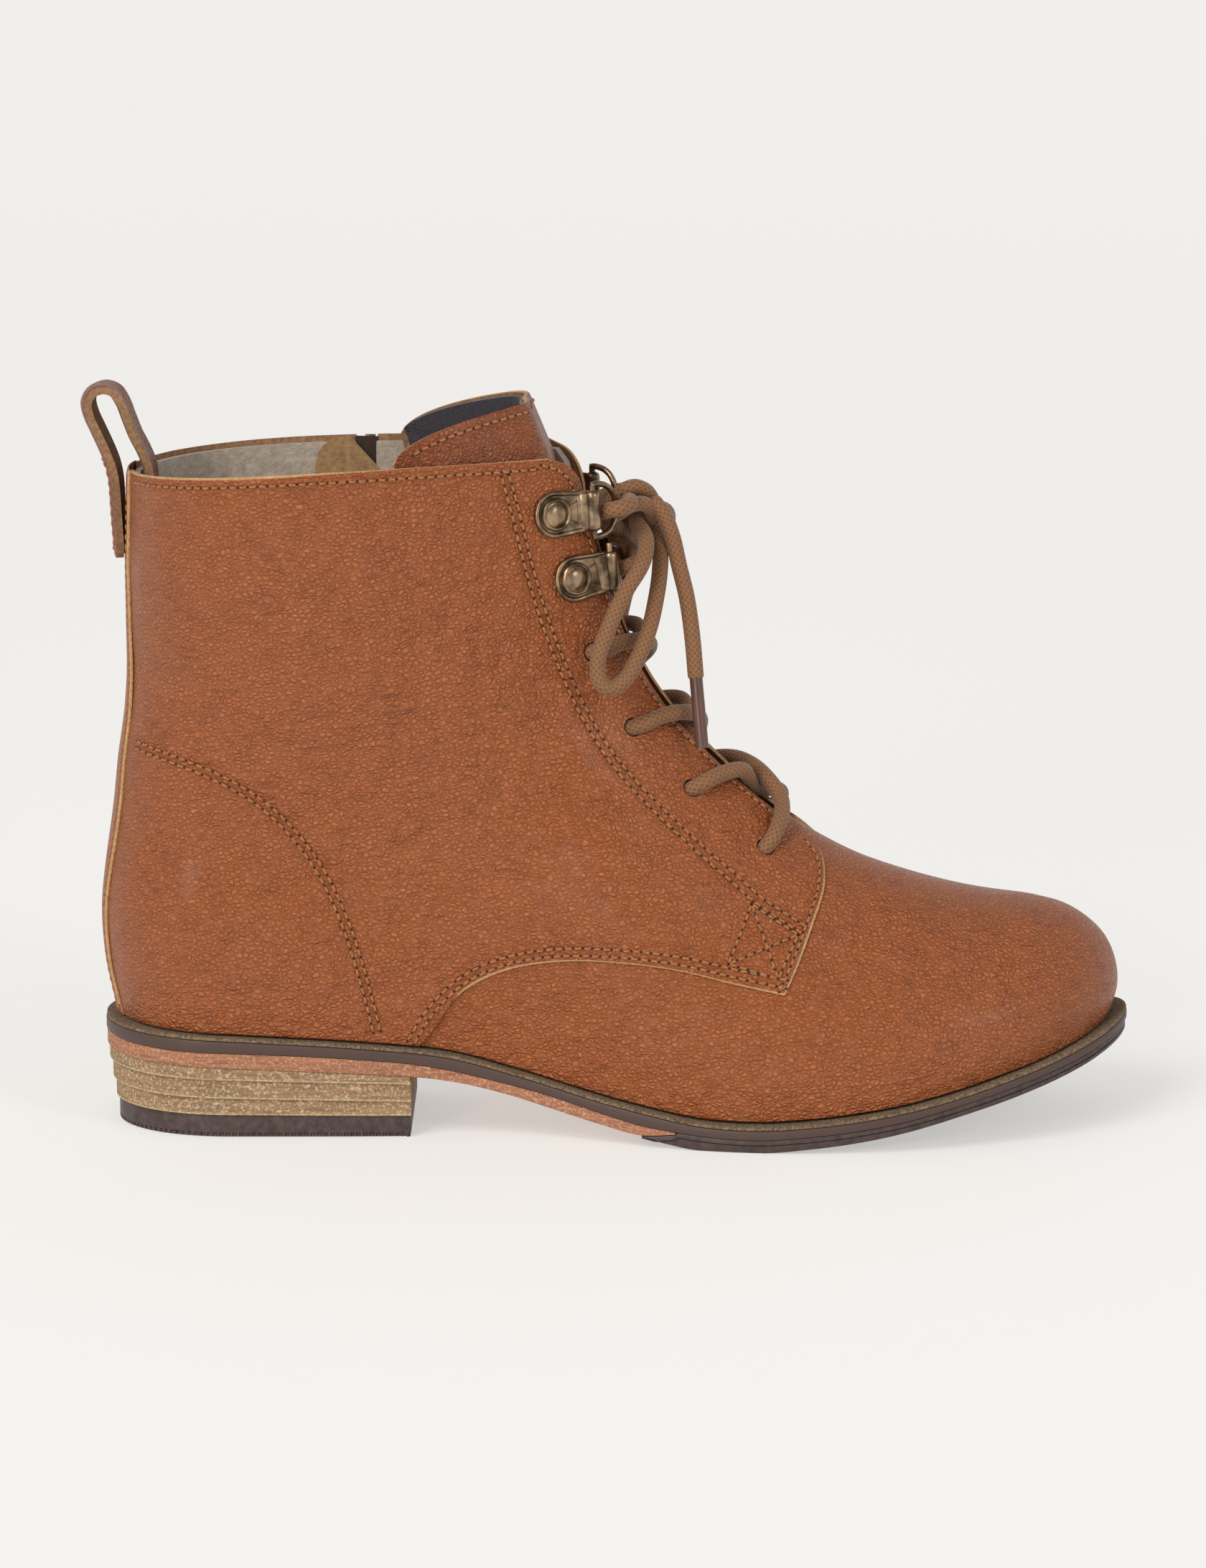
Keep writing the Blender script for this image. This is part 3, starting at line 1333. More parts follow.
def make_lining():
    """The fleece inside, from the footbed to the collar: the skin set in by the wall, as a second skin with
    its own soft nap, left open down the throat."""
    rows, columns = 90, 220
    corner = smooth_path(COLLAR_CORNER, 30)
    places = np.zeros((rows, columns, 2))
    levels = np.linspace(0.03, 0.993, rows)
    for r, level in enumerate(levels):
        _, z = side_points(np.array([0.9]), np.array([level**LEVEL_POWER]))
        stop = PI - 0.16
        if z[0] > THROAT_Z - 6:
            at = float(z[0])
            limit = edge_x(at) if at < 157.0 else float(np.interp(at, corner[:, 1], corner[:, 0]))
            stop = float(locate([(limit - 1.3, at)], -1)[0, 0])
        places[r, :, 0] = np.linspace(stop, -stop, columns)
        places[r, :, 1] = level
    turn, level = places[..., 0], places[..., 1]
    bare, off = skin(turn, level), skin_normals(turn, level)
    nap = 0.22 * np.sin(turn * 61 + level * 9) * np.sin(level * 83)
    nap += 0.16 * np.sin(turn * 137) * np.sin(level * 171 + turn * 11)
    deep = -0.05 - 1.35 * (1 - ease(0.93, 1.0, level))
    outer = bare + off * (deep - 0.1)[..., None]
    inner = bare + off * (-WALL + nap + 0.5 * ease(0.985, 1.0, level))[..., None]
    points, faces, _ = sheet_solid(outer, inner)
    mesh_piece("lining", points, faces, ("fleece_lining",))


# Stitching


def seam_places(line, side):
    """Turn and level along a side view polyline, at 0.5 mm over the skin."""
    places = locate(line, side)
    count = max(8, int(path_length(skin(places[:, 0], places[:, 1])) / 0.5))
    return spaced(places, count)


def sew(places, lift_of):
    """Stitches along a line of turn and level: the needle holes and the normal at each. lift_of gives how
    far the sewn face lies off the skin."""
    turn, level = places[:, 0], places[:, 1]
    bare = skin(turn, level)
    off = skin_normals(turn, level)
    face = bare + off * lift_of(bare[:, 0], bare[:, 2])[:, None]
    along = distances(face)
    count = max(1, int(round(along[-1] / (sizes().stitch / MM))))
    at = np.linspace(0, along[-1], count + 1)
    return sample(at, along, face), unit(sample(at, along, off))


def stitch_parts(points, normals, sunk=0.0):
    """A short bowed capsule of thread for each stitch, sunk at its ends, and a needle hole at each end: six
    points round at five places, closed at both ends, and a six sided disc."""
    thick = sizes().thread / MM / 2
    points = points - normals * sunk
    a, b = points[:-1], points[1:]
    up = (normals[:-1] + normals[1:]) / 2
    across = unit(np.cross(unit(b - a), up))
    angle = np.linspace(0, 2 * PI, 6, endpoint=False)
    cos, sin = np.cos(angle)[:, None], np.sin(angle)[:, None]
    shares = np.array([0.13, 0.24, 0.5, 0.76, 0.87])[:, None]
    lifts = np.array([-0.12, 0.14, 0.24, 0.14, -0.12])[:, None]
    thicks = np.array([0.55, 1.0, 1.06, 1.0, 0.55])[:, None, None] * thick
    middle_points = a[:, None] + (b - a)[:, None] * shares + up[:, None] * lifts
    ring = across[:, None, None] * cos + up[:, None, None] * sin
    body = middle_points[:, :, None] + ring * thicks
    count = len(a)
    quads = (grid_quads(5, 6, closed=True)[None] + np.arange(count)[:, None, None] * 30).reshape(-1, 4)
    caps = np.arange(count)[:, None] * 30 + np.arange(6)[None]
    caps = np.concatenate([caps[:, ::-1], caps + 24])
    first = unit(np.cross(normals, np.roll(points, -1, axis=0) - points + 1e-6))
    second = np.cross(normals, first)
    disc = points[:, None] + normals[:, None] * 0.06 + 0.37 * (first[:, None] * cos + second[:, None] * sin)
    discs = np.arange(len(points))[:, None] * 6 + np.arange(6)[None]
    return body.reshape(-1, 3), quads, caps, disc.reshape(-1, 3), discs


def sewn_piece(name, rows, sunk=0.0):
    """All the given rows of stitches as one piece of thread with its needle holes."""
    points, faces, kinds, start = [], [], [], 0
    for row_points, row_normals in rows:
        body_points, quads, caps, disc_points, discs = stitch_parts(row_points, row_normals, sunk)
        points += [body_points, disc_points]
        faces += (quads + start).tolist() + (caps + start).tolist()
        kinds += [0] * (len(quads) + len(caps))
        start += len(body_points)
        faces += (discs + start).tolist()
        kinds += [1] * len(discs)
        start += len(disc_points)
    materials = ("bonded_thread", "needle_hole")
    mesh_piece(name, np.concatenate(points), faces, materials, kinds=kinds, closed=False)


def quarter_face(side, rows):
    """How far the quarter's outer face lies off the skin, at side view points."""
    step = sizes().quarter_step / MM

    def lift(x, z):
        return step + relief(x, z, side) + 0.35 * seam_groove(x, z, rows) + 0.05

    return lift


def make_stitching():
    """The rows on both quarters and beside the backstay's edges."""
    lines = quarter_rows()
    for side, word in SIDES:
        lift = quarter_face(side, lines[GROOVED])
        rows = []
        for line in lines:
            places = seam_places(line, side)
            if side > 0:
                spot = skin(places[:, 0], places[:, 1])
                clear = np.abs(spot[:, 0] - zip_x(spot[:, 2])) > ZIP_WIDE / 2 + 0.8
                clear |= spot[:, 2] < ZIP_FOOT[1] - 3
                rows += [sew(places[part], lift) for part in runs_of(clear) if part.stop - part.start > 12]
            else:
                rows.append(sew(places, lift))
        if side > 0:
            for along in (-ZIP_WIDE / 2 - 2.0, ZIP_WIDE / 2 + 2.0):
                levels = np.linspace(ZIP_FOOT[1] - 2.0, 171.0, 120)
                line = np.stack([zip_x(levels) + along, levels], axis=-1)
                rows.append(sew(seam_places(line, side), lift))
            foot = [(zip_x(46.0) + a, 46.0) for a in np.linspace(-ZIP_WIDE / 2 - 2, ZIP_WIDE / 2 + 2, 20)]
            rows.append(sew(seam_places(foot, side), lift))
        sewn_piece("stitching_" + word, rows)
    top = sizes().quarter_step / MM + sizes().backstay_step / MM
    rows = []
    for side in (-1, 1):
        places = backstay_places(np.array([side * (1 - 2.0 / (sizes().backstay_half / MM))]), 220)[:, 0]
        keep = (places[:, 1] > 0.02) & (places[:, 1] < 0.985)
        rows.append(sew(places[keep], lambda x, z: top + 0.6 * relief(x, z, -1)))
    sewn_piece("stitching_backstay", rows, 0.22)


def runs_of(mask):
    """The slices over which a row of flags stays true."""
    edges = np.flatnonzero(np.diff(np.concatenate([[0], mask.astype(int), [0]])))
    return [slice(a, b) for a, b in edges.reshape(-1, 2)]


def zip_x(z):
    return np.interp(z, [ZIP_FOOT[1], ZIP_TOP[1]], [ZIP_FOOT[0], ZIP_TOP[0]])


# Tongue and pull loop


def tongue_grid(rows=72, rise_rows=22, columns=81):
    """The tongue's outer face: the skin within a reach of the front's middle, set in by the wall, hollowed
    under the lace, then carried up above the collar in a round top that leans back."""
    v_foot = float(np.interp(TONGUE_FOOT_Z, FRONT_Z, np.linspace(0, 1, len(FRONT_Z))))
    level = np.linspace(v_foot, 1.0, rows)
    across = np.linspace(-1, 1, columns)
    reach = 0.42 + 0.95 * ease(0.42, 1.0, level)
    turn = PI + across[None, :] * reach[:, None]
    x, z = side_points((1 - np.cos(turn)) / 2, np.tile(level[:, None], (1, columns)))
    side = np.sign(across)[None, :]
    half = np.nan_to_num(half_width(x, z)) * np.minimum(1, np.abs(across) * 1e6)[None, :]
    grid = np.stack([x, middle(x, z) + side * half, z], axis=-1)
    normal = sheet_normals(grid)
    room = WALL + TONGUE_CLEAR + 3.0 * (1 - ease(118, 152, grid[..., 2])) * ease(76, 88, grid[..., 2])
    grid = grid - normal * room[..., None]
    grid[..., 0] -= 5.0 * ease(125, 177, grid[..., 2]) * np.exp(-((grid[..., 1] / 15) ** 2))
    rise = TONGUE_RISE * (1 - np.abs(across) ** 2.2) ** 0.62
    share = np.linspace(0, 1, rise_rows + 1)[1:, None]
    extra = np.repeat(grid[-1][None], rise_rows, axis=0)
    extra[..., 2] += (rise + 0.3) * share
    extra[..., 0] -= 0.42 * rise * share
    extra[..., 1] -= 0.06 * rise * share * np.sign(across)
    return np.concatenate([grid, extra])


def sheet_normals(grid):
    return unit(np.cross(np.gradient(grid, axis=1), np.gradient(grid, axis=0)))


def plain_sheet(name, outer, thick, materials, node=None, tone=None):
    """A sheet between a grid and the same grid set in, rounded off at its cut edge."""
    off = sheet_normals(outer)
    face = outer - off * rim_drop(outer.shape[:2], 0.2)[..., None]
    points, faces, kinds = sheet_solid(face, outer - off * thick)
    mesh_piece(name, points, faces, materials, node, kinds, tone=tone)


def edge_row(points, normals, start, stop):
    """Stitch ends at an even pitch along a polyline with normals, between two shares of its length."""
    along = distances(points)
    low, high = along[-1] * start, along[-1] * stop
    count = max(2, int((high - low) / (sizes().stitch / MM)))
    at = np.linspace(low, high, count + 1)
    return sample(at, along, points), unit(sample(at, along, normals))


def make_tongue():
    outer = tongue_grid()
    off = sheet_normals(outer)
    plain_sheet("tongue_leather", outer, 1.3, LEATHER_SET, "tongue", 0.25)
    inner = (outer - off * 1.45)[:-1, 1:-1]
    rows, columns = inner.shape[:2]
    nap = 0.07 * np.sin(np.arange(columns) * 1.9)[None, :] * np.sin(np.arange(rows) * 1.7)[:, None]
    inner = inner - sheet_normals(inner) * nap[..., None]
    plain_sheet("tongue_lining", inner, 1.05, ("quilted_lining",))
    down = unit(outer[-4] - outer[-1])
    row = edge_row(outer[-1] + down * 2.4, off[-1], 0.06, 0.94)
    sewn_piece("tongue_stitching", [row])
    row = edge_row(outer[-1] - off[-1] * 2.5 + down * 6.0, -off[-1], 0.1, 0.9)
    sewn_piece("tongue_lining_stitching", [row])


def strap_grid(rows=110, columns=15):
    """The strap's middle face: its path, spread across, and bowed to follow the back of the boot."""
    path = smooth_path([(x, 0.0, z) for x, z in STRAP], rows)
    along = np.linspace(0, path_length(path), rows)
    ends = np.minimum(np.minimum(along, 6.5) / 6.5, 1)
    half = STRAP_WIDE / 2 * (0.62 + 0.38 * np.sqrt(1 - (1 - ends) ** 2))
    across = np.linspace(-1, 1, columns)
    grid = np.repeat(path[:, None, :], columns, axis=1)
    grid[..., 1] += half[:, None] * across[None, :]
    grid[..., 0] += grid[..., 1] ** 2 / (2 * STRAP_BOW)
    return grid


def make_pull_loop():
    """A folded strap: leather outside, its flesh side inside, sewn at the edges with the boot's thread."""
    grid = strap_grid()
    off = -sheet_normals(grid)
    half = STRAP_THICK / 2
    outer = grid + off * half
    if outer[5, 7, 0] > grid[5, 7, 0]:
        off = -off[:, ::-1]
        grid = grid[:, ::-1]
        outer = grid + off * half
    inner = grid - off * half
    outer = outer - off * rim_drop(outer.shape[:2], 0.25)[..., None]
    points, faces, kinds = sheet_solid(outer, inner)
    materials = ("full_grain_leather", "leather_flesh_side", "leather_flesh_side")
    mesh_piece("pull_strap", points, faces, materials, "pull_loop", kinds, tone=0.45, closed=False)
    rows = [edge_row(outer[3:36, column], off[3:36, column], 0.02, 0.98) for column in (2, -3)]
    rows += [edge_row(outer[row, 2:-2], off[row, 2:-2], 0.0, 1.0) for row in (3, 34)]
    sewn_piece("pull_loop_stitching", rows, 0.16)


# Sole


def plan_outline(x, inset, back, tip):
    """Outer and inner side y of a plan outline that ends at back and tip, set in from the welt's edge."""
    half = plan_half(x) - inset
    half = half * end_round(x - back, HEEL_BACK_RADIUS + WELT_REACH, HEEL_POWER)
    half = half * end_round(tip - x, tip - TOE_START_X, TOE_POWER)
    return plan_centre(x) - half, plan_centre(x) + half


def sole_ring(low, high, count, inset, back, tip, blunt_low=False, blunt_high=False):
    """A sole layer's outline as one closed ring: out along the outer side and back along the inner side.
    Its stations crowd towards a round end."""
    t = np.linspace(0, 1, count)
    if blunt_low:
        x = low + (high - low) * np.sin(t * PI / 2)
    elif blunt_high:
        x = low + (high - low) * (1 - np.cos(t * PI / 2))
    else:
        x = low + (high - low) * (1 - np.cos(t * PI)) / 2
    outer, inner = plan_outline(x, inset, back, tip)
    return np.concatenate([np.stack([x, outer], -1), np.stack([x, inner], -1)[::-1]])


def ring_outward(ring):
    """Unit vectors that point out of a closed outline, at its points."""
    run = unit(np.roll(ring, -1, axis=0) - np.roll(ring, 1, axis=0))
    return np.stack([run[:, 1], -run[:, 0]], axis=-1)


def sole_layer(name, ring, top, bottom, steps, materials, node):
    """A layer of the sole: its outline's ring carried down a profile. Each step is how far in the wall lies
    (one value or one per point), its drop in mm from the top, or from the bottom if negative, or None for
    the bottom itself, and its material. The two faces are filled between the outline's sides."""
    count, levels = len(ring), len(steps)
    outward = ring_outward(ring)
    high, low = top(ring[:, 0]), bottom(ring[:, 0])
    grid = np.empty((levels, count, 3))
    for row, (inset, drop, _) in zip(grid, steps):
        row[:, :2] = ring - outward * np.reshape(inset, (-1, 1))
        z = low if drop is None else high - drop if drop >= 0 else low - drop
        row[:, 2] = np.clip(z, low, high)
    half = count // 2
    i = np.arange(half - 1)
    top_faces = np.stack([i, i + 1, count - 2 - i, count - 1 - i], axis=-1)
    low_faces = ((levels - 1) * count + top_faces)[:, ::-1]
    faces = np.concatenate([grid_quads(levels, count, closed=True)[:, ::-1], top_faces, low_faces])
    kinds = np.repeat(
        [step[2] for step in steps[1:]] + [steps[0][2], steps[-1][2]], [count] * (levels - 1) + [half - 1] * 2
    )
    mesh_piece("dressed_" + name, grid.reshape(-1, 3), faces, materials, node, kinds)


def layer_of(rows, drop=0.0):
    return lambda x: height(rows, x) - drop


def make_sole():
    """Midsole with its welt rim, leather waist, rubber forefoot, three leather lifts and the top lift."""
    ring = sole_ring(WELT_BACK_X + 0.02, WELT_TIP_X - 0.02, 300, 0.0, WELT_BACK_X, WELT_TIP_X)
    wall = (
        (1.1, 0.0, 0), (0.45, 0.02, 0), (0.2, 0.2, 0), (0.14, 0.8, 0), (0.42, 0.92, 1),
        (0.1, 1.1, 1), (0.0, 1.4, 1), (0.0, -0.5, 1), (0.15, -0.12, 1), (0.5, None, 1),
    )
    sole_layer(
        "midsole", ring, layer_of(WELT_TOP), layer_of(MIDSOLE_BOTTOM), wall,
        ("welt_strip", "stained_sole_edge"), "midsole",
    )
    ring = sole_ring(WELT_BACK_X + 0.3, WAIST_END_X, 240, 0.4, WELT_BACK_X + 0.25, WELT_TIP_X, blunt_high=True)
    wall = ((0.6, 0.0, 0), (0.12, 0.05, 0), (0.0, 0.25, 0), (0.0, -0.3, 0), (0.15, -0.08, 0), (0.7, None, 0))

    def waist_bottom(x):
        return np.minimum(height(WAIST_BOTTOM, x), height(MIDSOLE_BOTTOM, x) - GAP - 0.4)

    sole_layer(
        "waist_sole", ring, layer_of(MIDSOLE_BOTTOM, 0.05), waist_bottom, wall,
        ("sole_leather",), "waist_sole",
    )
    ring = sole_ring(RUBBER_START_X, WELT_TIP_X - 0.5, 260, 0.4, WELT_BACK_X, WELT_TIP_X - 0.4, blunt_low=True)
    wall = (
        (0.5, 0.0, 0), (0.1, 0.05, 0), (0.0, 0.3, 0), (0.0, 1.15, 0), (0.35, 1.25, 0),
        (0.35, 1.4, 0), (0.0, 1.5, 0), (0.0, -0.6, 0), (0.2, -0.2, 0), (0.8, None, 0),
    )

    def rubber_top(x):
        under_waist = height(WAIST_BOTTOM, x) - 0.1
        return np.where(x < WAIST_END_X + GAP, under_waist, height(MIDSOLE_BOTTOM, x) - 0.05)

    def rubber_bottom(x):
        return np.maximum(height(RUBBER_BOTTOM, x), 0.0)

    sole_layer("outsole", ring, rubber_top, rubber_bottom, wall, ("moulded_rubber",), "outsole")
    make_heel()


def ribs(ring, depth):
    """Fine upright ribs round a ring: the wall set in between them, 0.85 mm to each rib and each gap."""
    return depth * (0.5 + 0.5 * np.sign(np.sin(distances(ring) * 2 * PI / 1.7)))


def heel_joint(back, breast):
    """Height over x of the joint under a lift, straight from the heel's back to its breast."""
    return lambda x: back + (breast - back) * (x - WELT_BACK_X) / (HEEL_BREAST_X - WELT_BACK_X)


def heel_ring(number, count):
    """The outline of a lift, counted from the top: each is set in a little more than the one above."""
    inset = 0.8 + 2.4 * number / 3
    start = WELT_BACK_X + inset
    return sole_ring(start + 0.1, HEEL_BREAST_X, count, inset, start, WELT_TIP_X, blunt_high=True)


def make_heel():
    top = layer_of(WAIST_BOTTOM, 0.05)
    # Height of the foot of each lift, at the back and at the breast
    for number, (back, breast) in enumerate(((16.4, 14.4), (11.2, 9.6), (6.2, 5.7))):
        name = f"heel_lift_{number + 1}"
        ring = heel_ring(number, 200)
        wobble = 0.12 * np.sin(np.arange(len(ring)) * 0.7 + number) + 0.08 * np.sin(np.arange(len(ring)) * 0.23)
        wall = (
            (0.5, 0.0, 0), (0.1, 0.05, 0), (0.05 + 0.5 * np.abs(wobble), 0.35, 0),
            (np.maximum(0, wobble) * 0.8, 1.4, 0), (np.maximum(0, -wobble) * 0.8, -1.1, 0),
            (0.08, -0.55, 0), (0.0, -0.5, 1), (0.03, -0.1, 1), (0.5, None, 1),
        )
        materials = ("stacked_leather", "lift_glue_line")
        sole_layer(name, ring, top, heel_joint(back, breast), wall, materials, name)
        top = heel_joint(back - 0.02, breast - 0.02)
    ring = heel_ring(3, 420)
    ring = np.concatenate([even_path(ring[:420], 420), even_path(ring[420:], 420)])
    wall = (
        (0.5, 0.0, 0), (0.1, 0.05, 0), (0.0, 0.3, 0), (0.0, -1.25, 0), (ribs(ring, 0.45), -1.15, 0),
        (ribs(ring, 0.45), -0.25, 0), (0.4, -0.1, 0), (1.2, None, 0),
    )
    sole_layer(
        "top_lift", ring, top, heel_joint(0.0, 0.0), wall, ("moulded_rubber",), "top_lift"
    )


# Clips, rings and zip


def placed(points, at_frame):
    """Points given along, up and off a surface frame, in the boot's frame."""
    at, forward, up, off = at_frame
    points = np.asarray(points, float)
    return at + points[..., :1] * forward + points[..., 1:2] * up + points[..., 2:3] * off


def ring_inset(outline, inset):
    return outline - ring_outward(outline) * inset


def stamped(outline, profile):
    """A pressed plate: its outline's rings, each set in and raised as the profile says, closed by a point
    above and one below."""
    rings = [np.column_stack([ring_inset(outline, inset), np.full(len(outline), off)]) for inset, off in profile]
    return ringed(np.array(rings), (0, 0, profile[0][1]), (0, 0, profile[-1][1]))


def lathe(profile, sides=40):
    """A profile of radius and height turned about the third axis; it starts and ends on that axis."""
    a = np.linspace(0, 2 * PI, sides, endpoint=False)
    grid = np.array([[(r * math.cos(t), r * math.sin(t), h) for t in a] for r, h in profile[1:-1]])
    return ringed(grid, (0, 0, profile[0][1]), (0, 0, profile[-1][1]))


def clip_frames():
    """Side, name, surface frame and the ring's lean for each of the four clips."""
    for side, word in SIDES:
        for name, x, z, rise, lean in CLIPS:
            yield side, f"{name}_{word}", surface_frame(x, z, side, CLIP_OFF, rise), lean


def clip_outline():
    """Round about the rivet, then straight sides that draw in to the barrel."""
    turns = np.radians(np.linspace(90, 270, 31))
    left = np.stack([CLIP_HALF * np.cos(turns), CLIP_HALF * np.sin(turns)], axis=-1)
    low = even_path([left[-1], (CLIP_LENGTH, -CLIP_HALF + 0.9)], 12)[1:]
    high = even_path([(CLIP_LENGTH, CLIP_HALF - 0.9), left[0]], 12)[:-1]
    end = even_path([low[-1], high[0]], 12)[1:-1]
    return np.concatenate([left, low, end, high])


def make_clips():
    """Each is a stamped plate with its rivet, the barrel for the ring's bar and the neck between them."""
    plate = stamped(
        clip_outline(),
        ((0.3, 0.0), (0.0, 0.15), (0.0, 0.7), (0.12, 0.95), (0.4, 1.1), (0.75, 1.08), (1.05, 0.85), (1.25, 0.62),
         (1.6, 0.58)),
    )
    rivet = lathe(
        ((0, 0.2), (4.3, 0.2), (4.35, 1.1), (4.2, 1.6), (3.9, 1.85), (3.55, 1.8), (3.3, 1.5), (3.15, 1.25),
         (2.95, 1.3), (2.6, 1.62), (1.9, 1.95), (1.0, 2.15), (0, 2.2))
    )
    half = CLIP_HALF - 1.8
    barrel = tube_parts([(CLIP_LENGTH, u, BARREL_RADIUS) for u in np.linspace(-half, half, 12)], BARREL_RADIUS, 28)
    neck_x = np.linspace(6.6, CLIP_LENGTH, 14)
    lift = 0.75 + (2 * BARREL_RADIUS - 0.95) * ease(6.9, CLIP_LENGTH - 0.5, neck_x)
    wide = np.interp(neck_x, (6.6, 7.8, CLIP_LENGTH), (4.0, 4.5, 4.4))
    across = np.linspace(-1, 1, 9)
    top = np.stack(
        [np.repeat(neck_x[:, None], 9, 1), wide[:, None] * across[None], np.repeat(lift[:, None], 9, 1)], -1
    )
    top[..., 2] -= 0.25 * np.abs(across)[None] ** 6
    neck = sheet_solid(top, top - [0, 0, 0.7])
    points, faces = joined((plate, rivet, barrel[:2], neck[:2]))
    for _, name, at_frame, _ in clip_frames():
        mesh_piece(
            "stamped_clip_" + name, placed(points, at_frame), faces, ("antique_brass",),
            "ring_clip_" + name,
        )


def ring_point(at_frame, lean, reach, up, off):
    """A point given from the middle of the ring's bar, with the ring leaning in about that bar."""
    turn = math.radians(lean)
    along = CLIP_LENGTH + reach * math.cos(turn) + off * math.sin(turn)
    return placed((along, up, BARREL_RADIUS + off * math.cos(turn) - reach * math.sin(turn)), at_frame)


def closed_tube(path, radius, sides):
    """A tube round a closed path in one plane."""
    path = np.array(path, float)
    run = unit(np.roll(path, -1, axis=0) - np.roll(path, 1, axis=0))
    centre = path.mean(axis=0)
    flat = unit(np.cross(path[0] - centre, path[len(path) // 3] - centre))
    out = np.cross(run, flat)
    a = np.linspace(0, 2 * PI, sides, endpoint=False)
    grid = path[:, None] + radius * (
        np.cos(a)[None, :, None] * out[:, None] + np.sin(a)[None, :, None] * flat[None, None]
    )
    quads = grid_quads(len(path) + 1, sides, closed=True) % (len(path) * sides)
    return grid.reshape(-1, 3), quads


def make_rings():
    """Each is a D: its straight bar in the clip's barrel, its bow over the edge of the facing."""
    turns = np.radians(np.linspace(-90, 90, 61))
    reach = RING_REACH * np.abs(np.cos(turns)) ** 0.75
    up = RING_HALF * np.sign(np.sin(turns)) * np.abs(np.sin(turns)) ** 0.85
    bar = [(0.0, u) for u in np.linspace(RING_HALF, -RING_HALF, 18)[1:-1]]
    for _, name, at_frame, lean in clip_frames():
        path = [ring_point(at_frame, lean, r, u, 0.0) for r, u in list(zip(reach, up)) + bar]
        points, faces = closed_tube(path, RING_WIRE / 2, 16)
        mesh_piece("wire_ring_" + name, points, faces, ("antique_brass",), "ring_" + name)


# Lace


def braided(name, tubes, node):
    """A piece of round braided lace from one or more tubes, with UV for the braid."""
    points, faces = joined([tube[:2] for tube in tubes])
    uv = np.concatenate([tube[2] for tube in tubes])
    return mesh_piece(name, points, faces, ("braided_waxed_cotton",), node, uv=uv)


def arrival(x, z, side, bulge):
    """The lace coming up out of the throat, over the edge of the facing on this side and down to its hole."""
    thick = sizes().lace / MM / 2
    lift = thick + 0.1
    ex = edge_x(z + 1.5)
    return [
        over_edge(z - 7.0, -side, -5.2),
        over_gap(z - 3.4, bulge),
        over_edge(z + 1.2, side, lift + 0.7),
        off_side((x + ex) / 2 + 1.0, z + 1.6, side, lift + 0.15),
        off_side(x + 2.2, z + 0.4, side, lift - 0.5),
        off_side(x, z, side, -1.2),
        off_side(x - 0.6, z, side, -5.2),
    ]


def lace_turn(at_frame, lean):
    """Through a ring from inside and back over its bow."""
    steps = ((6.2, -1.6, -4.4), (4.8, -0.6, 0.0), (5.9, 0.0, 3.1), (8.8, 0.5, 3.9), (11.8, 1.2, 1.8))
    return [ring_point(at_frame, lean, *step) for step in steps]


def make_laces():
    """Two strands. Each comes out of a lowest hole, crosses to the other side, and goes into each hole from
    outside and back under the facing to the gap; above the holes it runs through the rings to the knot."""
    clips = {(side, name.split("_")[0]): (at_frame, lean) for side, name, at_frame, lean in clip_frames()}
    thick = sizes().lace / MM / 2
    lift = thick + 0.1
    tubes = []
    for number, side in enumerate((-1, 1)):
        x, z = HOLES[0]
        path = [
            over_gap(70.0, -9.0 - 3 * number),
            off_side(x - 1.0, z, side, -5.4),
            off_side(x, z, side, -1.0),
            off_side(x + 1.6, z + 1.8, side, lift - 0.4),
            over_edge(z + 7.5, side, lift + 0.8),
        ]
        side = -side
        x, z = HOLES[1]
        path += [over_gap(z - 3.0, 4.6 if number == 0 else 0.6), *arrival(x, z, side, 0.0)[2:]]
        for x, z in HOLES[2:]:
            side = -side
            path += arrival(x, z, side, 3.4 if side < 0 else -0.6)
        side = -side
        turn = lace_turn(*clips[(side, "lower")])
        path += [over_edge(z + 8.0, -side, -5.0), over_gap(z + 13.0, 0.5 - 2.0 * number), *turn]
        side = -side
        upper = lace_turn(*clips[(side, "upper")])
        path += [over_gap(turn[-1][2] + 3, 4.6 + 2.4 * number), *upper]
        x, y, z = KNOT_CENTRE
        path += [(x - 0.5, y + side * 5.0, z + 0.5), (x + 1.5, y + side * 1.0, z - 0.5)]
        tubes.append(tube_parts(smooth_path(path, 420), thick, 18))
    braided("crossed_laces", tubes, "lace_crossings")


# Columns: x, y, z of each strand that shows in the knot
KNOT_STRANDS = (
    ((90.6, -10.6, 159.6), (93.6, -10.8, 161.8), (97.0, -9.6, 163.6), (100.2, -7.0, 163.2), (101.8, -3.6, 160.6),
     (100.6, -0.6, 157.8), (97.6, 1.2, 157.0), (94.6, 1.0, 159.0)),
    ((91.2, -6.0, 163.0), (93.6, -6.4, 166.0), (97.0, -5.4, 167.6), (100.4, -3.0, 166.2), (102.2, -0.6, 162.8),
     (101.8, 1.6, 159.4), (99.6, 2.8, 157.2)),
    ((92.0, 6.4, 162.4), (94.8, 5.0, 165.4), (98.2, 2.6, 165.8), (101.2, -0.6, 164.4), (103.0, -4.2, 162.6)),
    ((98.0, -4.0, 158.0), (98.2, -1.6, 161.0), (98.6, 1.0, 163.4), (97.8, 3.0, 158.4)),
)


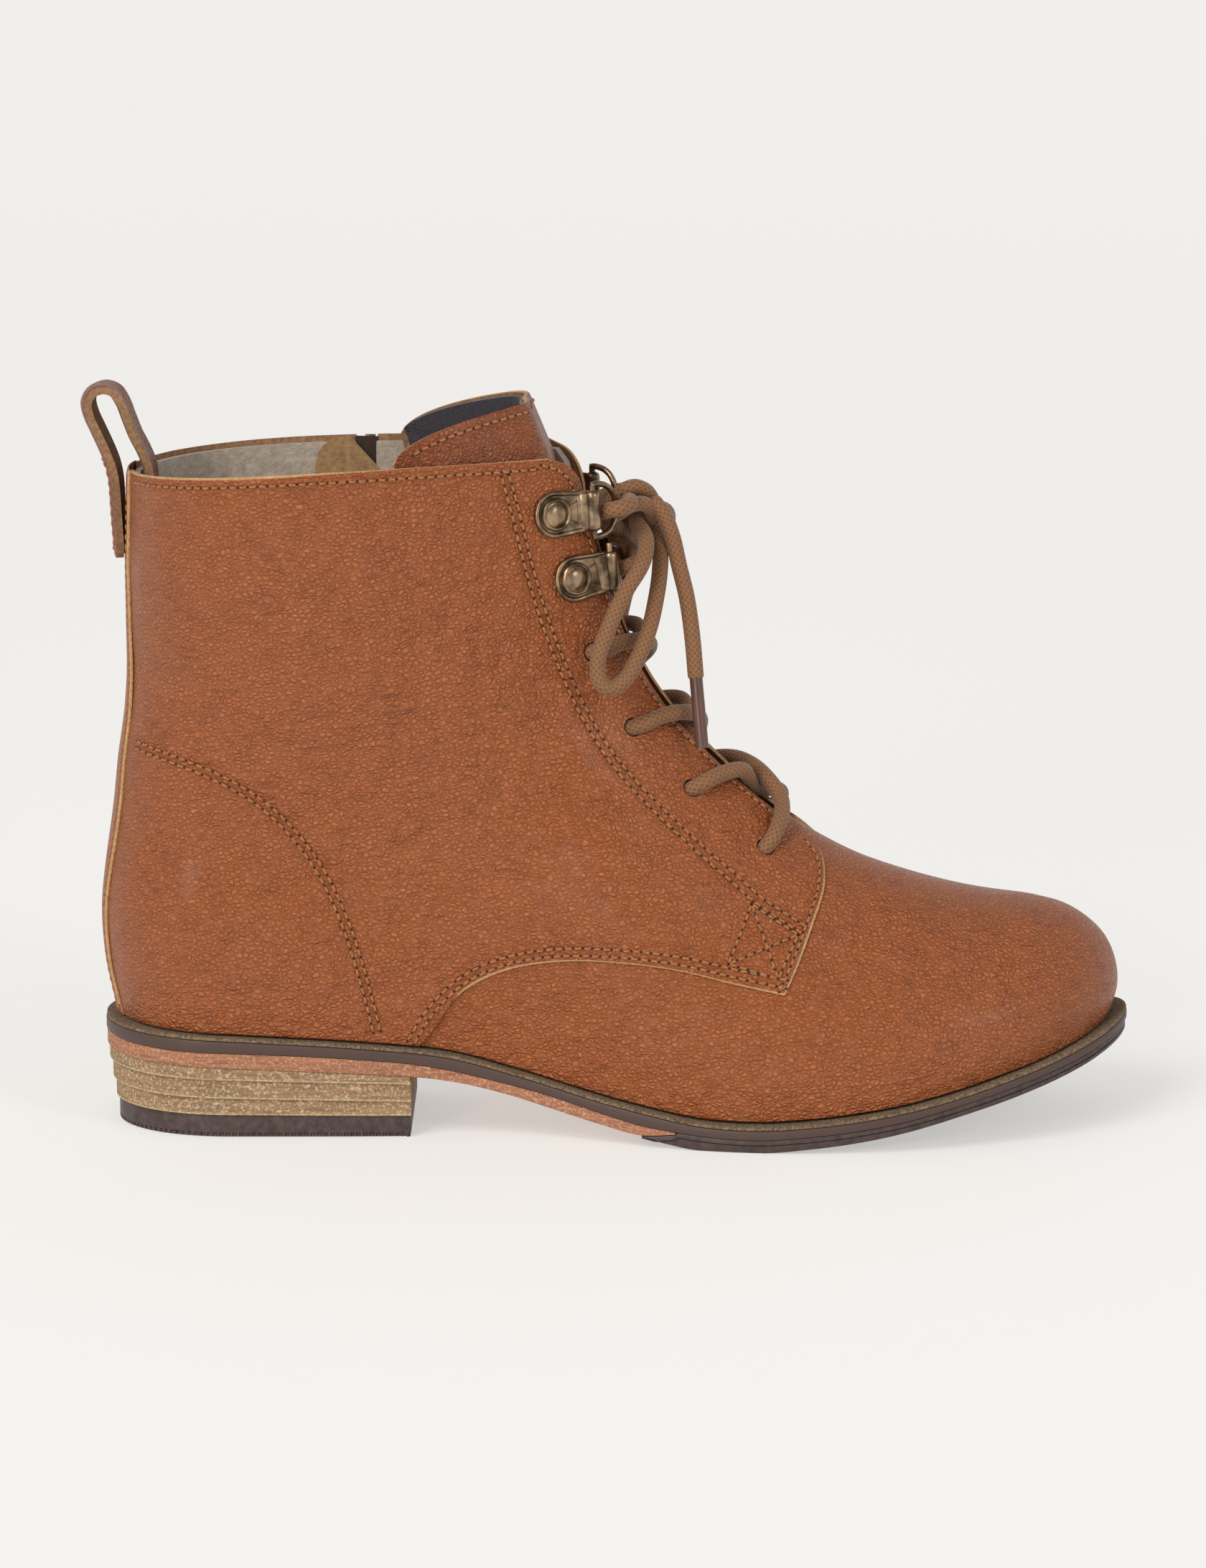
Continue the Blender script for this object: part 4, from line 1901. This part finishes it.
def make_bow():
    """The knot, its two loops and two ends, each end with its tag."""
    thick = sizes().lace
    radius = thick / MM / 2
    strands = [tube_parts(smooth_path(strand, 60), radius * 0.97, 20) for strand in KNOT_STRANDS]
    braided("bow_knot", strands, "lace_knot")
    for word, loop, end in (("outer", LOOP_OUTER, END_OUTER), ("inner", LOOP_INNER, END_INNER)):
        path = smooth_path(loop, 120)
        piece = braided("bow_loop_" + word, [tube_parts(path, radius, 20)], "lace_loop_" + word)
        path_length(path) * MM
        path = smooth_path(end, 90)
        piece = braided("bow_end_" + word, [tube_parts(path, radius, 20)], "lace_end_" + word)
        way = unit(path[-1] - path[-2])
        tag_path = [path[-1] + way * (GAP + t * TAG_LENGTH) for t in np.linspace(0.02, 1, 30)]
        points, faces, uv = tube_parts(tag_path, TAG_THICK / 2, 24, round_ends=False)
        tag = mesh_piece(
            "bow_tag_" + word, points, faces, ("lace_tag_film",), "lace_tag_" + word, uv=uv
        )
        path_length(path) * MM


def make_zip():
    """Tape in the recess, two rows of teeth on it, the slider and the pull tab, and the guard behind."""
    face = 1.2 + GAP - ZIP_RECESS
    levels = np.linspace(ZIP_FOOT[1], ZIP_TAPE_TOP, 140)
    across = np.linspace(-1, 1, 13) * (ZIP_SLOT + 0.15)
    xs = zip_x(levels)[:, None] + across[None, :]
    zs = np.repeat(levels[:, None], 13, axis=1)
    places = locate(np.stack([xs, zs], axis=-1), 1).reshape(140, 13, 2)
    bare, off = skin(places[..., 0], places[..., 1]), skin_normals(places[..., 0], places[..., 1])
    top = bare + off * (1.0 + face)
    points, faces, _ = sheet_solid(top[:, ::-1], (top - off * 1.0)[:, ::-1])
    mesh_piece("zip_tape", points, faces, ("cotton_zip_tape",), "zip_strip", closed=False)
    line, normals = top[:, 6], off[:, 6]
    count = int(path_length(line) / 1.05)
    at = np.linspace(0, len(line) - 1, count)
    number = np.arange(len(line))
    spots, ways = sample(at, number, line), sample(at, number, normals)
    run = unit(np.gradient(spots, axis=0))
    beside_way = np.cross(run, ways)
    corner = np.array([(a, b, c) for a in (-1, 1) for b in (-1, 1) for c in (-1, 1)], float)
    shift = np.where(np.arange(count) % 2 == 0, 0.75, -0.75)
    # Half a tooth across, along and off the tape
    scale = np.array([1.35, 0.42, 0.55])
    points = (
        spots[:, None]
        + beside_way[:, None] * (corner[None, :, :1] * scale[0] + shift[:, None, None])
        + run[:, None] * corner[None, :, 1:2] * scale[1]
        + ways[:, None] * (corner[None, :, 2:] * scale[2] + 0.35)
    )
    one = np.array([(0, 1, 3, 2), (4, 6, 7, 5), (0, 4, 5, 1), (2, 3, 7, 6), (0, 2, 6, 4), (1, 5, 7, 3)])
    faces = (one[None] + np.arange(count)[:, None, None] * 8).reshape(-1, 4)
    mesh_piece("zip_teeth", points.reshape(-1, 3), faces, ("antique_brass",))
    make_guard()
    dressed = (
        ("zip_slider", "antique_brass", "antique_brass"),
        ("zip_pull", "antique_brass", "antique_brass"),
        ("insole", "felt_insole", "lining_felt"),
    )
    for node, material, slot in dressed:
        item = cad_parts[node]
        item.data.materials.clear()
        item.data.materials.append(finish(material))


def make_guard():
    """The suede flap behind the zip: the upper's inner side set in by the wall, round at its top corner."""
    columns = np.linspace(13.0, 34.0, 24)
    round_off = 8.0 * (1 - np.sqrt(1 - np.clip((21.0 - columns) / 8.0, 0, 1) ** 2))
    tops = ZIP_TAPE_TOP - round_off - 1.05 * np.clip(columns - 22.5, 0, None)
    share = np.linspace(0, 1, 60)[:, None]
    zs = 55.0 + (tops[None] - 55.0) * share
    xs = np.repeat(columns[None], 60, axis=0)
    grid = np.stack([xs, middle(xs, zs) + half_width(xs, zs), zs], axis=-1)
    off = sheet_normals(grid)
    off *= np.sign(off[..., 1:2])
    grid = grid - off * (WALL + 0.9 - 1.3)
    nap = 0.1 * np.sin(xs * 1.3) * np.sin(zs * 0.9)
    outer = (grid + off * nap[..., None])[:, ::-1]
    inner = (grid - off * 1.3)[:, ::-1]
    points, faces, kinds = sheet_solid(outer, inner)
    materials = ("suede_leather", "raw_leather_edge", "suede_leather")
    mesh_piece("suede_guard", points, faces, materials, "zip_guard", kinds)


# Cuts


def cut_holes():
    """The lace holes through quarters and lining, and the zip's open top, by booleans of closed meshes."""
    for side, word in SIDES:
        pins = []
        for x, z in HOLES:
            at = surface_frame(x, z, side)
            ends = [placed((0, 0, t), at) for t in np.linspace(4.0, -5.0, 4)]
            pins.append(tube_parts(ends, HOLE_RADIUS, 32, round_ends=False)[:2])
        for name in ("quarter_" + word, "lining"):
            cut(bpy.data.objects[name], *joined(pins))
    rings = []
    for z in np.append(np.linspace(ZIP_FOOT[1] + 1.5, 168.0, 50), 180.0):
        at = surface_frame(float(zip_x(z)), min(z, 168.0), 1)
        corners = [(a * ZIP_SLOT, 0.0, c) for a, c in ((-1, -6.0), (1, -6.0), (1, 4.0), (-1, 4.0))]
        rings.append(placed(corners, at) + [0.0, 0.0, max(z - 168.0, 0.0)])
    faces = grid_quads(len(rings), 4, closed=True).tolist()
    last = 4 * len(rings) - 4
    faces += [(0, 1, 2, 3), (last + 3, last + 2, last + 1, last)]
    for name in ("quarter_inner", "lining"):
        cut(bpy.data.objects[name], np.concatenate(rings), faces)


def cut(piece, points, faces):
    mesh = bpy.data.meshes.new("cutter")
    mesh.from_pydata((points * MM).tolist(), [], [tuple(map(int, f)) for f in faces])
    cutter = bpy.data.objects.new("cutter", mesh)
    bpy.context.scene.collection.objects.link(cutter)
    outward_faces(cutter)
    modifier = piece.modifiers.new("Cut", "BOOLEAN")
    modifier.operation = "DIFFERENCE"
    modifier.solver = "MANIFOLD"
    modifier.object = cutter
    bpy.context.view_layer.update()
    done = bpy.data.meshes.new_from_object(piece.evaluated_get(bpy.context.evaluated_depsgraph_get()))
    piece.modifiers.clear()
    piece.data = done
    bpy.data.objects.remove(cutter, do_unlink=True)


class BOOT_OT_upper(bpy.types.Operator):
    """Vamp, quarters, backstay and lining"""

    bl_idname = "boot.upper"
    bl_label = "Upper"

    def execute(self, context):
        make_upper()
        cut_holes()
        return {"FINISHED"}


class BOOT_OT_tongue(bpy.types.Operator):
    """Tongue with its lining, and the pull loop"""

    bl_idname = "boot.tongue"
    bl_label = "Tongue and pull loop"

    def execute(self, context):
        make_tongue()
        make_pull_loop()
        return {"FINISHED"}


class BOOT_OT_stitching(bpy.types.Operator):
    """Rows of stitches on the quarters and the backstay"""

    bl_idname = "boot.stitching"
    bl_label = "Stitching"

    def execute(self, context):
        make_stitching()
        return {"FINISHED"}


class BOOT_OT_sole(bpy.types.Operator):
    """Welt, midsole, waist, forefoot rubber and heel"""

    bl_idname = "boot.sole"
    bl_label = "Sole and heel"

    def execute(self, context):
        make_sole()
        return {"FINISHED"}


class BOOT_OT_fittings(bpy.types.Operator):
    """Four clips, four rings and the zip"""

    bl_idname = "boot.fittings"
    bl_label = "Clips, rings and zip"

    def execute(self, context):
        make_clips()
        make_rings()
        make_zip()
        return {"FINISHED"}


class BOOT_OT_lace(bpy.types.Operator):
    """Crossed laces, knot, loops and ends"""

    bl_idname = "boot.lace"
    bl_label = "Lace"

    def execute(self, context):
        make_bow()
        make_laces()
        return {"FINISHED"}


class BOOT_OT_stage(bpy.types.Operator):
    """Floor, soft studio lights and the camera"""

    bl_idname = "boot.stage"
    bl_label = "Stage"

    def execute(self, context):
        make_stage()
        return {"FINISHED"}


def make_stage():
    rise = math.radians(CAMERA_RISE)
    aim = Vector(AIM) * MM
    data = bpy.data.cameras.new("camera")
    data.lens = LENS
    data.clip_start, data.clip_end = 0.05, 50.0
    camera = bpy.data.objects.new("camera", data)
    camera.location = aim + Vector((0, -math.cos(rise), math.sin(rise))) * CAMERA_FAR * MM
    camera.rotation_euler = (aim - camera.location).to_track_quat("-Z", "Y").to_euler()
    bpy.context.scene.collection.objects.link(camera)
    bpy.context.scene.camera = camera

    side = np.linspace(-9, 9, 100)
    y, x = np.meshgrid(side, side)
    far = np.hypot(x, y)
    rise = (3.3 + 1.5 * y / far) * np.clip((far - 3.0) / 6.0, 0, 1) ** 2
    mesh = bpy.data.meshes.new("floor")
    points = np.stack([x, y, rise], axis=-1).reshape(-1, 3)
    mesh.from_pydata(points.tolist(), [], grid_quads(100, 100)[:, ::-1].tolist())
    made, tree, shader = new_material("matt_paper", 0.85)
    shader.inputs["Base Color"].default_value = linear("#B9B8B6")
    shader.inputs["Emission Color"].default_value = linear("#FFFEFB")
    shader.inputs["Emission Strength"].default_value = 0.47
    mesh.materials.append(made)
    mesh.shade_smooth()
    floor = bpy.data.objects.new("floor", mesh)
    bpy.context.scene.collection.objects.link(floor)

    bpy.context.scene.view_settings.view_transform = "Standard"
    world = bpy.data.worlds.new("studio")
    bpy.context.scene.world = world
    world.use_nodes = True
    sky = world.node_tree.nodes["Background"]
    sky.inputs["Color"].default_value = linear("#FFFFFF")
    sky.inputs["Strength"].default_value = 0.40
    sun = bpy.data.lights.new("window", "SUN")
    sun.energy, sun.angle, sun.color = 1.3, math.radians(30), linear("#FFFCF9")[:3]
    lamp = bpy.data.objects.new("window", sun)
    lamp.rotation_euler = Vector((0.62, 0.72, -0.88)).to_track_quat("-Z", "Y").to_euler()
    bpy.context.scene.collection.objects.link(lamp)
    lights = (
        ("key", (-0.56, -1.3, 0.5), 0.3, 0.4, "#FFFAF5"),
        ("fill", (1.2, -1.2, 0.9), 0.5, 0.5, "#FFFFFF"),
    )
    for name, place, size, power, tint in lights:
        data = bpy.data.lights.new(name, "AREA")
        data.shape = "DISK"
        data.size = size
        data.energy = power
        data.spread = math.radians(50)
        data.color = linear(tint)[:3]
        lamp = bpy.data.objects.new(name, data)
        lamp.location = Vector(place)
        lamp.rotation_euler = (aim - lamp.location).to_track_quat("-Z", "Y").to_euler()
        bpy.context.scene.collection.objects.link(lamp)


class BOOT_PT_panel(bpy.types.Panel):
    bl_idname = "BOOT_PT_panel"
    bl_label = "Ankle boot"
    bl_space_type = "VIEW_3D"
    bl_region_type = "UI"
    bl_category = "Ankle boot"

    def draw(self, context):
        for group in (context.scene.boot_sizes, context.scene.boot_colours):
            for key in group.__annotations__:
                self.layout.prop(group, key)
        for operator in OPERATORS:
            self.layout.operator(operator.bl_idname)


OPERATORS = (
    BOOT_OT_stage,
    BOOT_OT_lace,
    BOOT_OT_upper,
    BOOT_OT_tongue,
    BOOT_OT_stitching,
    BOOT_OT_sole,
    BOOT_OT_fittings,
)
CLASSES = (BootSizes, BootColours, *OPERATORS, BOOT_PT_panel)


def register():
    for item in CLASSES:
        bpy.utils.register_class(item)
    bpy.types.Scene.boot_sizes = bpy.props.PointerProperty(type=BootSizes)
    bpy.types.Scene.boot_colours = bpy.props.PointerProperty(type=BootColours)


def unregister():
    del bpy.types.Scene.boot_sizes
    del bpy.types.Scene.boot_colours
    for item in reversed(CLASSES):
        bpy.utils.unregister_class(item)


def main():
    register()
    for operator in OPERATORS:
        group, name = operator.bl_idname.split(".")
        getattr(getattr(bpy.ops, group), name)()


if __name__ == "__main__":
    main()
